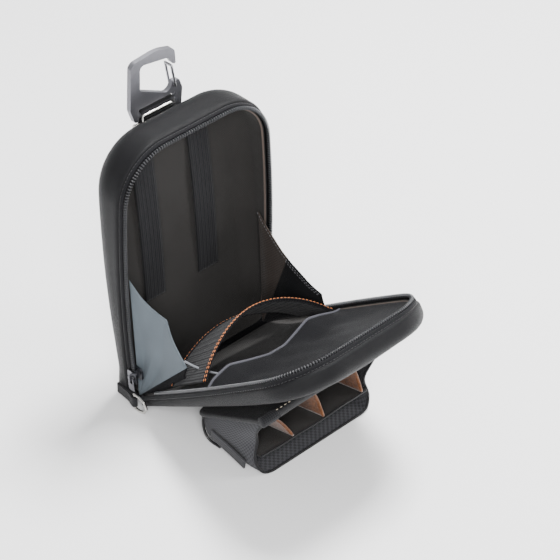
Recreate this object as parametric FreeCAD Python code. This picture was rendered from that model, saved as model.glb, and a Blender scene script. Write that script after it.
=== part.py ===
"""Electrician's tool pouch: a moulded zip case that opens like a book, with a folding tool
pouch on its lid and a snap hook on top. Millimetres, +Z up, the case opens towards -Y."""

import FreeCAD, Part
import math
import os

V = FreeCAD.Vector

# ---- case, measured on the split line of the zip ----
HALF_WIDTH = 59.0        # centre to side at the foot and at the top
SIDE_BOW = 5.0           # how far each side swells out at mid height
CASE_TOP = 196.0         # top of the split line
CORNER_R = 36.0          # top corners
FOOT_R = 6.0             # bottom corners
WALL = 4.0               # foam shell, measured outwards from the split line
LINING = 1.0             # woven lining inside the shell

BACK_FOOT_DEPTH = 23.0   # back shell, split plane to outer face
BACK_TOP_DEPTH = 39.0
BACK_EDGE_R = 18.0
FOOT_EDGE_R = 7.0

LID_FOOT_DEPTH = 10.5    # lid shell, split plane to outer face
LID_TOP_DEPTH = 21.0
LID_EDGE_R = 9.0
HINGE_Z = 10.0           # hinge line above the ground
LID_SLOPE = 36.0         # the open lid above the horizontal, degrees
LID_SWING = 90.0 - LID_SLOPE

# ---- zip ----
COIL_GAP = 0.8           # coil face to split plane
COIL_DEPTH = 2.0
COIL_OUT = 1.5           # coil, outwards and inwards of the split line
COIL_IN = 0.4
TAPE = 0.8
SHELL_SETBACK = 7.0      # shell edge to split plane: the tape shows in between
LIP_SETBACK = COIL_GAP + COIL_DEPTH
LINING_SETBACK = 4.6
PIPING = 1.4
BACK_COIL_START = 22.0
LID_COIL_START = 34.0
SLIDER_Z = 26.4
SLIDER_LENGTH = 10.0
SLIDER_GAP = 0.6
SLIDER_PLATE = 1.4
BRIDGE = 1.0
PULL_LENGTH = 11.4

# ---- carrying loop and snap hook ----
WEB = 1.6                # webbing thickness
LOOP_HALF = 14.0         # half width of the webbing
HOOK_PLATE = 3.6
HOOK_PIVOT_R = 1.9
HOOK_PIVOT_Z = 193.3
HOOK_LUG = 7.4           # pivot to the foot of the right lug: it swings clear of the shell
LOOP_GAP = 0.4
LOOP_STAND_OFF = 1.2     # loop to the shell
LOOP_FOOT_Z = 135.0
SEWN_BELOW = 9.0         # pivot to the top of the sewn part
GATE_WIRE_R = 0.9
GATE_PIVOT = (15.2, 204.4)
GATE_TOP = (12.3, 221.2)
RING_WIRE_R = 0.8

# ---- ground rings ----
DRING_WIRE_R = 1.0
DRING_HEIGHT = 12.0
DRING_REACH = 12.0
DRING_Y = -3.0
TAB_HALF = 4.0

# ---- inside the lid ----
ELASTIC_FROM = 38.0      # along the lid from the hinge
ELASTIC_TO = 80.0
ELASTIC_RISE = 25.0      # crown above the split plane
ELASTIC = 1.4
HEM = 1.0
HEM_STOP = 9.0           # the hems end this far in from the zip line
POCKET_FROM = 82.0
POCKET_SINK = 5.3        # below the split plane
POCKET_SHEET = 1.2

# ---- gussets ----
GUSSET = 1.0
GUSSET_FOOT = 4.0        # its corner, in from the zip line
GUSSET_BACK = 0.6        # its seam on the back half, out from the zip line

# ---- tool pouch under the lid ----
PANEL_SLOPE = 27.6       # degrees
PANEL_REAR = (-50.0, 22.0)
PANEL_LENGTH = 74.0
PANEL_HALF = 56.0
PANEL = 5.0
PANEL_CORNER_R = 10.0
BOARD = 1.2
LIP_R = 3.2
LIP_HALF = 42.0
POUCH_HALF = 52.0
POUCH_WALL = 1.6
POUCH_FACE_FROM = -58.0
POUCH_FACE_TO = -112.0
DIVIDER = 1.4
SHELF_Z = 17.0           # cross divider at the mouth


# ---------------------------------------------------------------- helpers

def box(x0, x1, y0, y1, z0, z1):
    return Part.makeBox(x1 - x0, y1 - y0, z1 - z0, V(x0, y0, z0))


def rod(a, b, r):
    return Part.makeCylinder(r, (b - a).Length, a, b - a)


def ball(p, r):
    return Part.makeSphere(r, p)


def wire_run(points, r):
    """Round wire through points, with a ball at each bend."""
    parts = [rod(a, b, r) for a, b in zip(points, points[1:])]
    parts += [ball(p, r) for p in points]
    return parts[0].multiFuse(parts[1:]).removeSplitter()


def rounded_loop(corners, place):
    """Closed wire from (u, v, radius) corners; place(u, v) gives the 3-D point."""
    edges = []
    count = len(corners)
    ends = []
    for i, (u, v, r) in enumerate(corners):
        pu, pv, _ = corners[i - 1]
        nu, nv, _ = corners[(i + 1) % count]
        a = (pu - u, pv - v)
        b = (nu - u, nv - v)
        la, lb = math.hypot(*a), math.hypot(*b)
        a = (a[0] / la, a[1] / la)
        b = (b[0] / lb, b[1] / lb)
        if r <= 0:
            ends.append(((u, v), None, (u, v)))
            continue
        half = math.acos(max(-1.0, min(1.0, a[0] * b[0] + a[1] * b[1]))) / 2
        run = min(r / math.tan(half), 0.48 * la, 0.48 * lb)
        r = run * math.tan(half)
        m = (a[0] + b[0], a[1] + b[1])
        lm = math.hypot(*m)
        reach = r / math.sin(half) - r
        ends.append(((u + a[0] * run, v + a[1] * run),
                     (u + m[0] / lm * reach, v + m[1] / lm * reach),
                     (u + b[0] * run, v + b[1] * run)))
    for i, (start, mid, end) in enumerate(ends):
        if mid:
            edges.append(Part.Arc(place(*start), place(*mid), place(*end)).toShape())
        nxt = ends[(i + 1) % count][0]
        if math.hypot(nxt[0] - end[0], nxt[1] - end[1]) > 1e-6:
            edges.append(Part.LineSegment(place(*end), place(*nxt)).toShape())
    return Part.Wire(edges)


def plate_xz(corners, y0, y1):
    """Flat piece with an outline in X and Z."""
    wire = rounded_loop(corners, lambda x, z: V(x, y0, z))
    return Part.Face(wire).extrude(V(0, y1 - y0, 0))


def bar_yz(corners, x0, x1):
    """Piece with an outline in Y and Z, run across X."""
    wire = rounded_loop(corners, lambda y, z: V(x0, y, z))
    return Part.Face(wire).extrude(V(x1 - x0, 0, 0))


def about_x(shape, y, z, degrees):
    out = shape.copy()
    out.rotate(V(0, y, z), V(1, 0, 0), degrees)
    return out


def mirrored(shape):
    return shape.mirror(V(0, 0, 0), V(1, 0, 0))


# ---------------------------------------------------------------- case outline

def outline(out, foot, y0, y1, square_foot=False):
    """The case outline moved out by OUT from the split line, from Y0 to Y1."""
    half = HALF_WIDTH + out
    low, high = foot - out, CASE_TOP + out
    mid = (foot + CASE_TOP) / 2
    corners = [V(-half, y0, low), V(half, y0, low), V(half, y0, high), V(-half, y0, high)]
    wire = Part.Wire([
        Part.LineSegment(corners[0], corners[1]).toShape(),
        Part.Arc(corners[1], V(half + SIDE_BOW, y0, mid), corners[2]).toShape(),
        Part.LineSegment(corners[2], corners[3]).toShape(),
        Part.Arc(corners[3], V(-half - SIDE_BOW, y0, mid), corners[0]).toShape(),
    ])
    solid = Part.Face(wire).extrude(V(0, y1 - y0, 0))

    def upright(z):
        return [e for e in solid.Edges
                if all(abs(v.Point.z - z) < 0.01 for v in e.Vertexes)
                and abs(e.Vertexes[0].Point.y - e.Vertexes[-1].Point.y) > 0.5]

    solid = solid.makeFillet(CORNER_R + out, upright(high))
    if not square_foot and FOOT_R + out > 0.5:
        solid = solid.makeFillet(FOOT_R + out, upright(low))
    return solid


def moulded(out, foot, foot_depth, top_depth, edge_r, front=0.0):
    """One half of the case as a solid: the outline, a sloping back and round back edges.
    FRONT is where it starts, at or before the split plane."""
    inset = WALL - out
    slope = (top_depth - foot_depth) / (CASE_TOP + WALL)
    low, high = foot - out, CASE_TOP + out

    def depth(z):
        return foot_depth + slope * z - inset

    block = outline(out, foot, 0.0, top_depth + 20, square_foot=True)
    wedge = bar_yz([(0, low - 1, 0), (depth(low - 1), low - 1, 0),
                    (depth(high + 1), high + 1, 0), (0, high + 1, 0)], -200, 200)
    block = block.common(wedge)

    def on_back(e):
        return all(abs(v.Point.y - depth(v.Point.z)) < 0.02 for v in e.Vertexes)

    back = [e for e in block.Edges if on_back(e)
            and not all(abs(v.Point.z - low) < 0.02 for v in e.Vertexes)]
    block = block.makeFillet(edge_r - inset, back)
    foot_r = max(FOOT_EDGE_R - inset, 0.6)
    round_foot = bar_yz([(-1, low, 0), (depth(low), low, foot_r),
                         (depth(high) + 30, high + 1, 0),
                         (-1, high + 1, 0)], -200, 200)
    block = block.common(round_foot)
    block = block.common(outline(out, foot, -1, top_depth + 20))
    if front < 0:
        block = block.fuse(outline(out, foot, front, 0.5)).removeSplitter()
    return block


def shell(foot, foot_depth, top_depth, edge_r):
    args = (foot, foot_depth, top_depth, edge_r)
    skin = moulded(WALL, *args)
    skin = skin.common(box(-200, 200, SHELL_SETBACK, 200, -50, 300))
    lip = moulded(COIL_OUT, *args)
    lip = lip.common(box(-200, 200, LIP_SETBACK, 200, -50, 300))
    hollow = moulded(0.0, *args, front=-2.0)
    return skin.fuse(lip).cut(hollow).removeSplitter()


def lining(foot, foot_depth, top_depth, edge_r):
    args = (foot, foot_depth, top_depth, edge_r)
    bag = moulded(0.0, *args).cut(moulded(-LINING, *args, front=-2.0))
    return bag.common(box(-200, 200, LINING_SETBACK, 200, -50, 300))


def ring_strip(outer, inner, foot, y0, y1, start):
    """A strip that follows both sides and the top between two outlines."""
    strip = outline(outer, foot, y0, y1).cut(outline(inner, foot, y0 - 1, y1 + 1))
    return strip.common(box(-200, 200, y0 - 1, y1 + 1, start, 300))


def opened(shape):
    """From the closed lid, drawn towards +Y, to the open lid."""
    out = shape.copy()
    out.rotate(V(0, 0, 0), V(0, 0, 1), 180)
    return about_x(out, 0, HINGE_Z, LID_SWING)


def on_lid(x, along, above):
    """A point by its distance along the open lid and its height above the split plane."""
    a = math.radians(LID_SLOPE)
    return V(x, -along * math.cos(a) + above * math.sin(a),
             HINGE_Z + along * math.sin(a) + above * math.cos(a))


# ---------------------------------------------------------------- back half

BACK = (WALL, BACK_FOOT_DEPTH, BACK_TOP_DEPTH, BACK_EDGE_R)
LID = (HINGE_Z, LID_FOOT_DEPTH, LID_TOP_DEPTH, LID_EDGE_R)


def back_face(z, inset=0.0):
    """Y of the back shell's outer face at height Z, moved in by INSET."""
    slope = (BACK_TOP_DEPTH - BACK_FOOT_DEPTH) / (CASE_TOP + WALL)
    return BACK_FOOT_DEPTH + slope * z - inset


def back_shell():
    return shell(*BACK)


def back_lining():
    return lining(*BACK)


def zip_tape(foot):
    return ring_strip(COIL_OUT + TAPE, COIL_OUT, foot, COIL_GAP + 0.4, SHELL_SETBACK, HINGE_Z + 3)


def zip_coil(foot, start):
    return ring_strip(COIL_OUT, -COIL_IN, foot, COIL_GAP, LIP_SETBACK, start)


def edge_piping(args, start):
    """Thin piping on the lining, just inside the coil."""
    strip = ring_strip(-LINING, -LINING - PIPING, args[0], LINING_SETBACK, LINING_SETBACK + 1.8, start)
    return strip.common(moulded(-LINING, *args))


def back_elastic_bands():
    inner = WALL + LINING
    low, high = 62.0, CASE_TOP - BACK_EDGE_R - 3
    band = bar_yz([(back_face(low, inner + 1.2), low, 0), (back_face(low, inner), low, 0),
                   (back_face(high, inner), high, 0), (back_face(high, inner + 1.2), high, 0)],
                  -9, 9)
    left, right = band.copy(), band.copy()
    left.translate(V(-24, 0, 0))
    right.translate(V(24, 0, 0))
    return Part.makeCompound([left, right])


# ---------------------------------------------------------------- carrying loop and hook

LOOP_INNER = HOOK_PIVOT_R + LOOP_GAP
LOOP_OUTER = LOOP_INNER + WEB
LOOP_Y = back_face(HOOK_PIVOT_Z - SEWN_BELOW) + LOOP_OUTER + LOOP_STAND_OFF


def carry_loop():
    """Webbing folded round the hook's lower bar and sewn flat down the back."""
    sewn_top = HOOK_PIVOT_Z - SEWN_BELOW
    low = LOOP_FOOT_Z
    double = 2 * WEB
    body = bar_yz([(back_face(low), low, 0), (back_face(low) + double, low, 0),
                   (back_face(sewn_top) + double, sewn_top, 0),
                   (LOOP_Y + LOOP_OUTER, HOOK_PIVOT_Z - 3, 0),
                   (LOOP_Y + LOOP_OUTER, HOOK_PIVOT_Z, 0),
                   (LOOP_Y - LOOP_OUTER, HOOK_PIVOT_Z, 0),
                   (LOOP_Y - LOOP_OUTER, sewn_top, 0),
                   (back_face(sewn_top), sewn_top, 0)], -LOOP_HALF, LOOP_HALF)
    pivot_a, pivot_b = V(-LOOP_HALF, LOOP_Y, HOOK_PIVOT_Z), V(LOOP_HALF, LOOP_Y, HOOK_PIVOT_Z)
    body = body.fuse(rod(pivot_a, pivot_b, LOOP_OUTER))
    room = bar_yz([(LOOP_Y - LOOP_INNER, HOOK_PIVOT_Z - 4, 1), (LOOP_Y + LOOP_INNER, HOOK_PIVOT_Z - 4, 1),
                   (LOOP_Y + LOOP_INNER, HOOK_PIVOT_Z, 0), (LOOP_Y - LOOP_INNER, HOOK_PIVOT_Z, 0)],
                  -LOOP_HALF - 1, LOOP_HALF + 1)
    room = room.fuse(rod(pivot_a - V(1, 0, 0), pivot_b + V(1, 0, 0), LOOP_INNER))
    return body.cut(room).cut(moulded(WALL, *BACK)).removeSplitter()


def hook_plate():
    """Flat snap hook: an open eye, a nose for the wire gate and a lower bar in the webbing."""
    slot_top = HOOK_PIVOT_Z + LOOP_OUTER + 1.7
    left, right = -LOOP_HALF - 1.6, LOOP_HALF + 1.8
    z = HOOK_PIVOT_Z
    corners = [
        (left, slot_top, 1.2), (left, z - 3.4, 1), (left - 3.4, z - 3.6, 2), (-22.6, z + 7, 6),
        (-20.5, z + 41.6, 5), (2, z + 43.8, 30), (16.6, z + 39.6, 6), (17.3, z + 26.8, 1.2),
        (14.5, z + 28.2, 0.8), (10.6, z + 34.2, 2), (-13, z + 38, 3.5), (-13.8, z + 19.2, 2.5),
        (8.8, z + 7.9, 3.5), (12.4, z + 10.4, 2.5), (14.2, z + 14.8, 1.5), (19.8, z + 13.8, 2),
        (22.3, z + 6.5, 4), (20.8, z - 6.8, 2), (right, z - HOOK_LUG, 1.2), (right, slot_top, 1.2)]
    y0, y1 = LOOP_Y - HOOK_PLATE / 2, LOOP_Y + HOOK_PLATE / 2
    plate = plate_xz(corners, y0, y1)
    plate = plate.fuse(rod(V(left - 2, LOOP_Y, z), V(right + 2, LOOP_Y, z), HOOK_PIVOT_R))
    pin_hole = rod(V(GATE_PIVOT[0], y0 - 1, GATE_PIVOT[1]), V(GATE_PIVOT[0], y1 + 1, GATE_PIVOT[1]),
                   GATE_WIRE_R + 0.08)
    return plate.cut(pin_hole).removeSplitter()


def hook_gate():
    """Wire gate: two legs beside the plate, a pin through it and a bridge at the nose."""
    off = HOOK_PLATE / 2 + 0.4 + GATE_WIRE_R
    px, pz = GATE_PIVOT
    tx, tz = GATE_TOP
    points = [V(px, LOOP_Y - off, pz), V(tx, LOOP_Y - off, tz), V(tx, LOOP_Y + off, tz),
              V(px, LOOP_Y + off, pz), V(px, LOOP_Y - off, pz)]
    return wire_run(points, GATE_WIRE_R)


BAR_Z = HOOK_PIVOT_Z + 1.7
BAR_R = 1.2
BAR_Y = LOOP_Y - LOOP_OUTER - BAR_R + 0.35
BAR_BEND_Z = HOOK_PIVOT_Z - 3.3
EYE_R = 2.0
EYE = (-LOOP_HALF - 5.0, LOOP_Y - 1.85, HOOK_PIVOT_Z - 7.0)


def loop_bar():
    """Plated bar across the front of the webbing, bent down at its left end, and the small eye
    under it that is sewn into the webbing."""
    x = -LOOP_HALF + 0.1
    bar = wire_run([V(x, BAR_Y, BAR_BEND_Z), V(x, BAR_Y, BAR_Z), V(LOOP_HALF - 5, BAR_Y, BAR_Z)], BAR_R)
    top = EYE[2] + EYE_R
    stub = rod(V(EYE[0], EYE[1], top), V(x + 2, EYE[1], top), RING_WIRE_R)
    eye = Part.makeTorus(EYE_R, RING_WIRE_R, V(*EYE), V(1, 0, 0)).fuse(stub)
    loop = carry_loop()
    return Part.makeCompound([bar.cut(loop).removeSplitter(), eye.cut(loop).removeSplitter()])


def side_ring():
    """Small tapered ring that hangs in the eye."""
    x, y, z = EYE
    drop = 18.0
    points = [V(x - 1.8, y, z), V(x + 1.8, y, z), V(x + 3.2, y, z - drop),
              V(x - 4.2, y, z - drop), V(x - 1.8, y, z)]
    return wire_run(points, RING_WIRE_R)


# ---------------------------------------------------------------- ground rings and sliders

def side_radius():
    """Radius of the arc that each side of the back shell follows."""
    half = (CASE_TOP - WALL) / 2
    return (half * half + SIDE_BOW * SIDE_BOW) / (2 * SIDE_BOW)


DRING_X = HALF_WIDTH + WALL + 3.4
DRING_FOOT = 0.4 + DRING_WIRE_R


def d_ring():
    """Right-hand ring: an upright bar and a bow that reaches forwards."""
    x, y0 = DRING_X, DRING_Y
    z0, z1 = DRING_FOOT, DRING_FOOT + DRING_HEIGHT
    y1 = y0 - DRING_REACH
    points = [V(x, y0, z0), V(x, y0 - 5, z0), V(x, y1 + 2.5, z0 + 1.6), V(x, y1, (z0 + z1) / 2),
              V(x, y1 + 2.5, z1 - 1.6), V(x, y0 - 5, z1), V(x, y0, z1), V(x, y0, z0)]
    return wire_run(points, DRING_WIRE_R)


def ring_tab():
    """Webbing tab sewn to the side of the back shell, looped round the ring's bar."""
    z0 = DRING_FOOT + DRING_HEIGHT / 2 - TAB_HALF
    z1 = z0 + 2 * TAB_HALF
    inner = DRING_WIRE_R + 0.3
    outer = inner + 1.4
    low, high = V(DRING_X, DRING_Y, z0), V(DRING_X, DRING_Y, z1)
    loop = rod(low, high, outer)
    strap = box(HALF_WIDTH, DRING_X - inner + 0.6, DRING_Y, 16, z0, z1)
    hole = rod(low - V(0, 0, 1), high + V(0, 0, 1), inner)
    shell_side = outline(WALL, WALL, SHELL_SETBACK, 60)
    rim_room = box(0, DRING_X - outer, -20, SHELL_SETBACK, -5, 60)
    tab = loop.fuse(strap).cut(hole).cut(shell_side).cut(rim_room)
    return tab.removeSplitter()


def slider_turn():
    """Angle down the side's arc from mid height to where the slider rests."""
    mid = (CASE_TOP + WALL) / 2
    return math.degrees(math.asin((mid - SLIDER_Z) / side_radius()))


def down_the_side(shape):
    """From mid height on the right side to the slider's rest place."""
    mid = (CASE_TOP + WALL) / 2
    out = shape.copy()
    centre = V(HALF_WIDTH + SIDE_BOW - side_radius(), 0, mid)
    out.rotate(centre, V(0, 1, 0), slider_turn())
    return out


SIDE_MID_X = HALF_WIDTH + SIDE_BOW
SIDE_MID_Z = (CASE_TOP + WALL) / 2
SLIDER_OUT = COIL_OUT + TAPE + SLIDER_GAP
BAIL_OUT = SLIDER_OUT + SLIDER_PLATE + 2.2
PIN_OUT = SLIDER_OUT + SLIDER_PLATE + 1.0


def zip_slider():
    """Outer and inner plates joined by the divider, with a bail for the pull."""
    x, z = SIDE_MID_X, SIDE_MID_Z
    h = SLIDER_LENGTH / 2
    outer = plate_yz_rounded(x + SLIDER_OUT, x + SLIDER_OUT + SLIDER_PLATE, 4.5, z - h, z + h, 2)
    inner = plate_yz_rounded(x - COIL_IN - SLIDER_GAP - SLIDER_PLATE, x - COIL_IN - SLIDER_GAP,
                             4.0, z - h, z + h, 2)
    bridge = box(x - COIL_IN - SLIDER_GAP - 0.5, x + SLIDER_OUT + 0.5, -BRIDGE / 2, BRIDGE / 2,
                 z - 2, z + h - 1)
    bail = wire_run([V(x + SLIDER_OUT + SLIDER_PLATE - 0.2, 0, z - 3.4),
                     V(x + BAIL_OUT, 0, z - 2.6), V(x + BAIL_OUT, 0, z + 2.6),
                     V(x + SLIDER_OUT + SLIDER_PLATE - 0.2, 0, z + 3.4)], 0.6)
    return down_the_side(outer.fuse(inner).fuse(bridge).fuse(bail).removeSplitter())


def plate_yz_rounded(x0, x1, half_y, z0, z1, r):
    return bar_yz([(-half_y, z0, r), (half_y, z0, r), (half_y, z1, r), (-half_y, z1, r)], x0, x1)


def zip_pull():
    """Pin under the bail, two arms beside it and a flat tab."""
    x, z = SIDE_MID_X + PIN_OUT, SIDE_MID_Z
    pin = rod(V(x, -2.8, z), V(x, 2.8, z), 0.5)
    arms = [box(x - 0.5, x + 0.5, y - 0.6, y + 0.6, z - 6, z + 0.5) for y in (-2.2, 2.2)]
    tab = plate_yz_rounded(x - 0.5, x + 0.5, 3.0, z - PULL_LENGTH, z - 5, 1.5)
    return down_the_side(pin.multiFuse(arms + [tab]).removeSplitter())


# ---------------------------------------------------------------- lid insides

def lid_room(inset):
    """The space inside the closed lid, drawn towards +Y."""
    return moulded(-LINING - inset, *LID, front=-60)


def lid_elastic():
    """Ribbed elastic band, arched across the lid."""
    half = HALF_WIDTH + 1.6 - LINING
    foot = 8.0               # the arcs run on past the wall, and the room trims them
    top, under = -ELASTIC_RISE - ELASTIC, -ELASTIC_RISE

    def arch(reach, crown):
        return Part.Arc(V(-half - reach, foot, 0), V(0, crown, 0), V(half + reach, foot, 0)).toShape()

    def side(sign):
        return Part.LineSegment(V(sign * (half + 4), foot, 0), V(sign * (half + 3.4), foot, 0)).toShape()

    face = Part.Face(Part.Wire([arch(4, top), side(1), arch(3.4, under), side(-1)]))
    band = face.extrude(V(0, 0, ELASTIC_TO - ELASTIC_FROM))
    band.translate(V(0, 0, HINGE_Z + ELASTIC_FROM))
    return band.common(lid_room(0.1))


def lid_elastic_hems():
    """Stitched hems along both free edges of the elastic band."""
    band = lid_elastic()
    grown = band.copy()
    grown.translate(V(0, -HEM, 0))
    cuts = []
    for z0, z1 in ((ELASTIC_FROM, ELASTIC_FROM + 1.6), (ELASTIC_TO - 3.2, ELASTIC_TO)):
        slab = box(HEM_STOP - HALF_WIDTH, HALF_WIDTH - HEM_STOP, -80, 50, HINGE_Z + z0, HINGE_Z + z1)
        cuts.append(grown.cut(band).common(slab))
    return Part.makeCompound(cuts)


def lid_front_panel():
    """Lining panel over the front of the lid: the pocket behind it opens to the hinge."""
    sheet = box(-200, 200, POCKET_SINK, POCKET_SINK + POCKET_SHEET, HINGE_Z + POCKET_FROM, 300)
    return sheet.common(lid_room(1.6))


def lid_panel_binding():
    z = HINGE_Z + POCKET_FROM
    strip = box(-200, 200, POCKET_SINK - 0.6, POCKET_SINK + POCKET_SHEET + 0.6, z - 1.6, z)
    return strip.common(lid_room(1.6))


def hinge_fabric():
    """Fabric that joins the two shells along their feet."""
    half = HALF_WIDTH - 7
    gap = 0.3
    tip = on_lid(0, -WALL, -SHELL_SETBACK)
    y0, z0 = SHELL_SETBACK - 0.2, WALL / 2
    return bar_yz([(y0, z0 - 0.5, 0), (y0, z0 + 0.5, 0), (tip.y + gap + 1.2, tip.z + 0.4, 0),
                   (tip.y + gap + 1.2, tip.z - 0.6, 0)], -half, half)


def folded(points, facets, sign):
    """Thin sheet of triangular facets, thickened towards the middle of the case."""
    solids = []
    for a, b, c in facets:
        tri = Part.Face(Part.makePolygon([points[a], points[b], points[c], points[a]]))
        solids.append(tri.extrude(V(sign * GUSSET, 0, 0)))
    out = solids[0]
    for s in solids[1:]:
        out = out.fuse(s)
    return out.removeSplitter()


def gusset_left():
    """Left gusset: grey cloth from the back shell to the lid, folded inwards once."""
    side = -HALF_WIDTH
    points = {"corner": V(side + GUSSET_FOOT, -3, HINGE_Z + 5), "back": V(side - GUSSET_BACK, 8, 100),
              "fold": on_lid(side + 13, 50, 42.5), "tip": on_lid(side + 7.5, 57.5, 9.5)}
    return folded(points, [("corner", "back", "fold"), ("corner", "fold", "tip")], 1)


def gusset_right():
    """Right gusset: taupe cloth, folded outwards so that it stays near the side."""
    side = HALF_WIDTH
    points = {"corner": V(side - GUSSET_FOOT, -3, HINGE_Z + 5), "back": V(side + GUSSET_BACK, 8, 97),
              "fold": on_lid(side - 5, 60, 39.5), "tip": on_lid(side - 5.5, 81, 10.5)}
    return folded(points, [("corner", "back", "fold"), ("corner", "fold", "tip")], -1)


# ---------------------------------------------------------------- tool pouch

def on_panel(x, along, below):
    """A point by its distance along the pouch panel and its depth under the top face."""
    a = math.radians(PANEL_SLOPE)
    y0, z0 = PANEL_REAR
    return V(x, y0 - along * math.cos(a) - below * math.sin(a),
             z0 + along * math.sin(a) - below * math.cos(a))


def panel_slab(along0, along1, below0, below1, half, corner_r=0.0, lip_r=0.0):
    """Slab parallel to the pouch panel."""
    def place(x, along):
        return on_panel(x, along, below0)
    wire = rounded_loop([(-half, along0, corner_r), (half, along0, corner_r),
                         (half, along1, lip_r), (-half, along1, lip_r)], place)
    return Part.Face(wire).extrude(on_panel(0, 0, below1) - on_panel(0, 0, below0))


def pouch_panel():
    pad = panel_slab(0, PANEL_LENGTH, 0, PANEL, PANEL_HALF, PANEL_CORNER_R, 3)
    edges = [e for e in pad.Edges if e.Length > 8]
    pad = pad.makeFillet(1.6, edges) if edges else pad
    mid = PANEL / 2
    room = panel_slab(6, PANEL_LENGTH - 6, mid - BOARD / 2, mid + BOARD / 2, PANEL_HALF - 6, 4, 4)
    return pad.cut(room)


def pouch_board():
    mid = PANEL / 2
    return panel_slab(6, PANEL_LENGTH - 6, mid - BOARD / 2, mid + BOARD / 2, PANEL_HALF - 6, 4, 4)


def pouch_lip():
    """Rolled binding along the free edge of the panel."""
    a = on_panel(-LIP_HALF, PANEL_LENGTH, PANEL / 2)
    b = on_panel(LIP_HALF, PANEL_LENGTH, PANEL / 2)
    return rod(a, b, LIP_R).cut(panel_slab(-5, PANEL_LENGTH, -9, 20, 90)).removeSplitter()


def lip_ends():
    """Webbing wrapped round both ends of the lip."""
    ends = []
    for sign in (-1, 1):
        x0, x1 = sorted((sign * (LIP_HALF + 0.2), sign * PANEL_HALF))
        cap = rod(on_panel(x0, PANEL_LENGTH, PANEL / 2), on_panel(x1, PANEL_LENGTH, PANEL / 2),
                  LIP_R + 0.6)
        ends.append(cap.cut(panel_slab(-5, PANEL_LENGTH, -9, 20, 90)))
    return Part.makeCompound(ends)


def pouch_profile(wall):
    """Corners (y, z) of the pouch bag inside a wall, from the rear seam round to the mouth."""
    under0 = on_panel(0, 3 + wall, PANEL)
    under1 = on_panel(0, PANEL_LENGTH - 1, PANEL)
    grow = 12 if wall else 0
    mouth_y = POUCH_FACE_TO
    return [(under0.y, under0.z, 0), (under0.y - 0.6, under0.z - 8 + wall, 3),
            (POUCH_FACE_FROM - wall, wall, 3), (mouth_y - grow, wall, 0),
            (under1.y - grow * math.cos(math.radians(PANEL_SLOPE)),
             under1.z + grow * math.sin(math.radians(PANEL_SLOPE)), 0)]


def pouch_bag():
    """Woven bag under the panel, open at the mouth."""
    outer = bar_yz(pouch_profile(0), -POUCH_HALF, POUCH_HALF)
    inner = bar_yz(pouch_profile(POUCH_WALL), -POUCH_HALF + POUCH_WALL, POUCH_HALF - POUCH_WALL)
    return outer.cut(inner).removeSplitter()


def bag_room(clear):
    inner = bar_yz(pouch_profile(POUCH_WALL), -POUCH_HALF + POUCH_WALL, POUCH_HALF - POUCH_WALL)
    trim = box(-200, 200, POUCH_FACE_TO + clear, 0, -10, 200)
    return inner.common(trim)


def cross_divider():
    """Sheet across the bag between the upper and the lower row of pockets."""
    rear_y, rear_z = POUCH_FACE_FROM - 4, 6.0
    mouth_y = POUCH_FACE_TO
    sheet = bar_yz([(rear_y, rear_z, 0), (mouth_y, SHELF_Z, 0), (mouth_y, SHELF_Z - DIVIDER, 0),
                    (rear_y, rear_z - DIVIDER, 0)], -POUCH_HALF, POUCH_HALF)
    return sheet.common(bag_room(3))


def upper_divider(top_x, low_x):
    """Leather-faced divider from the panel down to the cross divider."""
    steep = plate_xz([(top_x - DIVIDER / 2, 90, 0), (top_x + DIVIDER / 2, 90, 0),
                      (top_x + DIVIDER / 2, 50, 0), (low_x + DIVIDER / 2, SHELF_Z - 2, 0),
                      (low_x + DIVIDER / 2, -5, 0), (low_x - DIVIDER / 2, -5, 0),
                      (low_x - DIVIDER / 2, SHELF_Z - 2, 0), (top_x - DIVIDER / 2, 50, 0)],
                     -200, 0)
    above = bar_yz([(POUCH_FACE_FROM - 4, 6.0, 0), (POUCH_FACE_TO, SHELF_Z, 0), (POUCH_FACE_TO, 90, 0),
                    (POUCH_FACE_FROM - 4, 90, 0)], -200, 200)
    return steep.common(bag_room(2)).common(above).cut(pouch_lip())


def side_strap():
    """Ribbed strap that hangs forwards from the rivet on the left side."""
    x1 = -POUCH_HALF - 0.1
    x0 = x1 - 1.4
    return bar_yz([(-66, 9.5, 3), (-70, 16, 3), (-99, 9.0, 2), (-100.5, 1.2, 2)], x0, x1)


def strap_rivet():
    x = -POUCH_HALF - 1.5
    centre = V(x, -72, 10.5)
    dome = ball(centre + V(2.2, 0, 0), 3.6).common(box(x - 9, x, -90, -50, 0, 30))
    return dome


def side_piping():
    """Piping round the rear edge of the left and right sides of the bag."""
    out = []
    for sign in (-1, 1):
        x = sign * (POUCH_HALF + 0.9)
        under = on_panel(0, 6, PANEL)
        points = [V(x, under.y, under.z - 1.2), V(x, under.y - 0.4, under.z - 7),
                  V(x, POUCH_FACE_FROM - 3, 1.4), V(x, -65, 1.4)]
        out.append(wire_run(points, 0.9))
    return Part.makeCompound(out)


def pouch_hanger():
    """Webbing sewn under the lid, from which the pouch panel folds."""
    strip = box(-22, 22, 0, 40, HINGE_Z + 46, HINGE_Z + 60)
    skin = moulded(WALL + 1.5, HINGE_Z, LID_FOOT_DEPTH, LID_TOP_DEPTH, LID_EDGE_R)
    pad = strip.common(skin).cut(moulded(WALL, *LID))
    return opened(pad)


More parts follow.
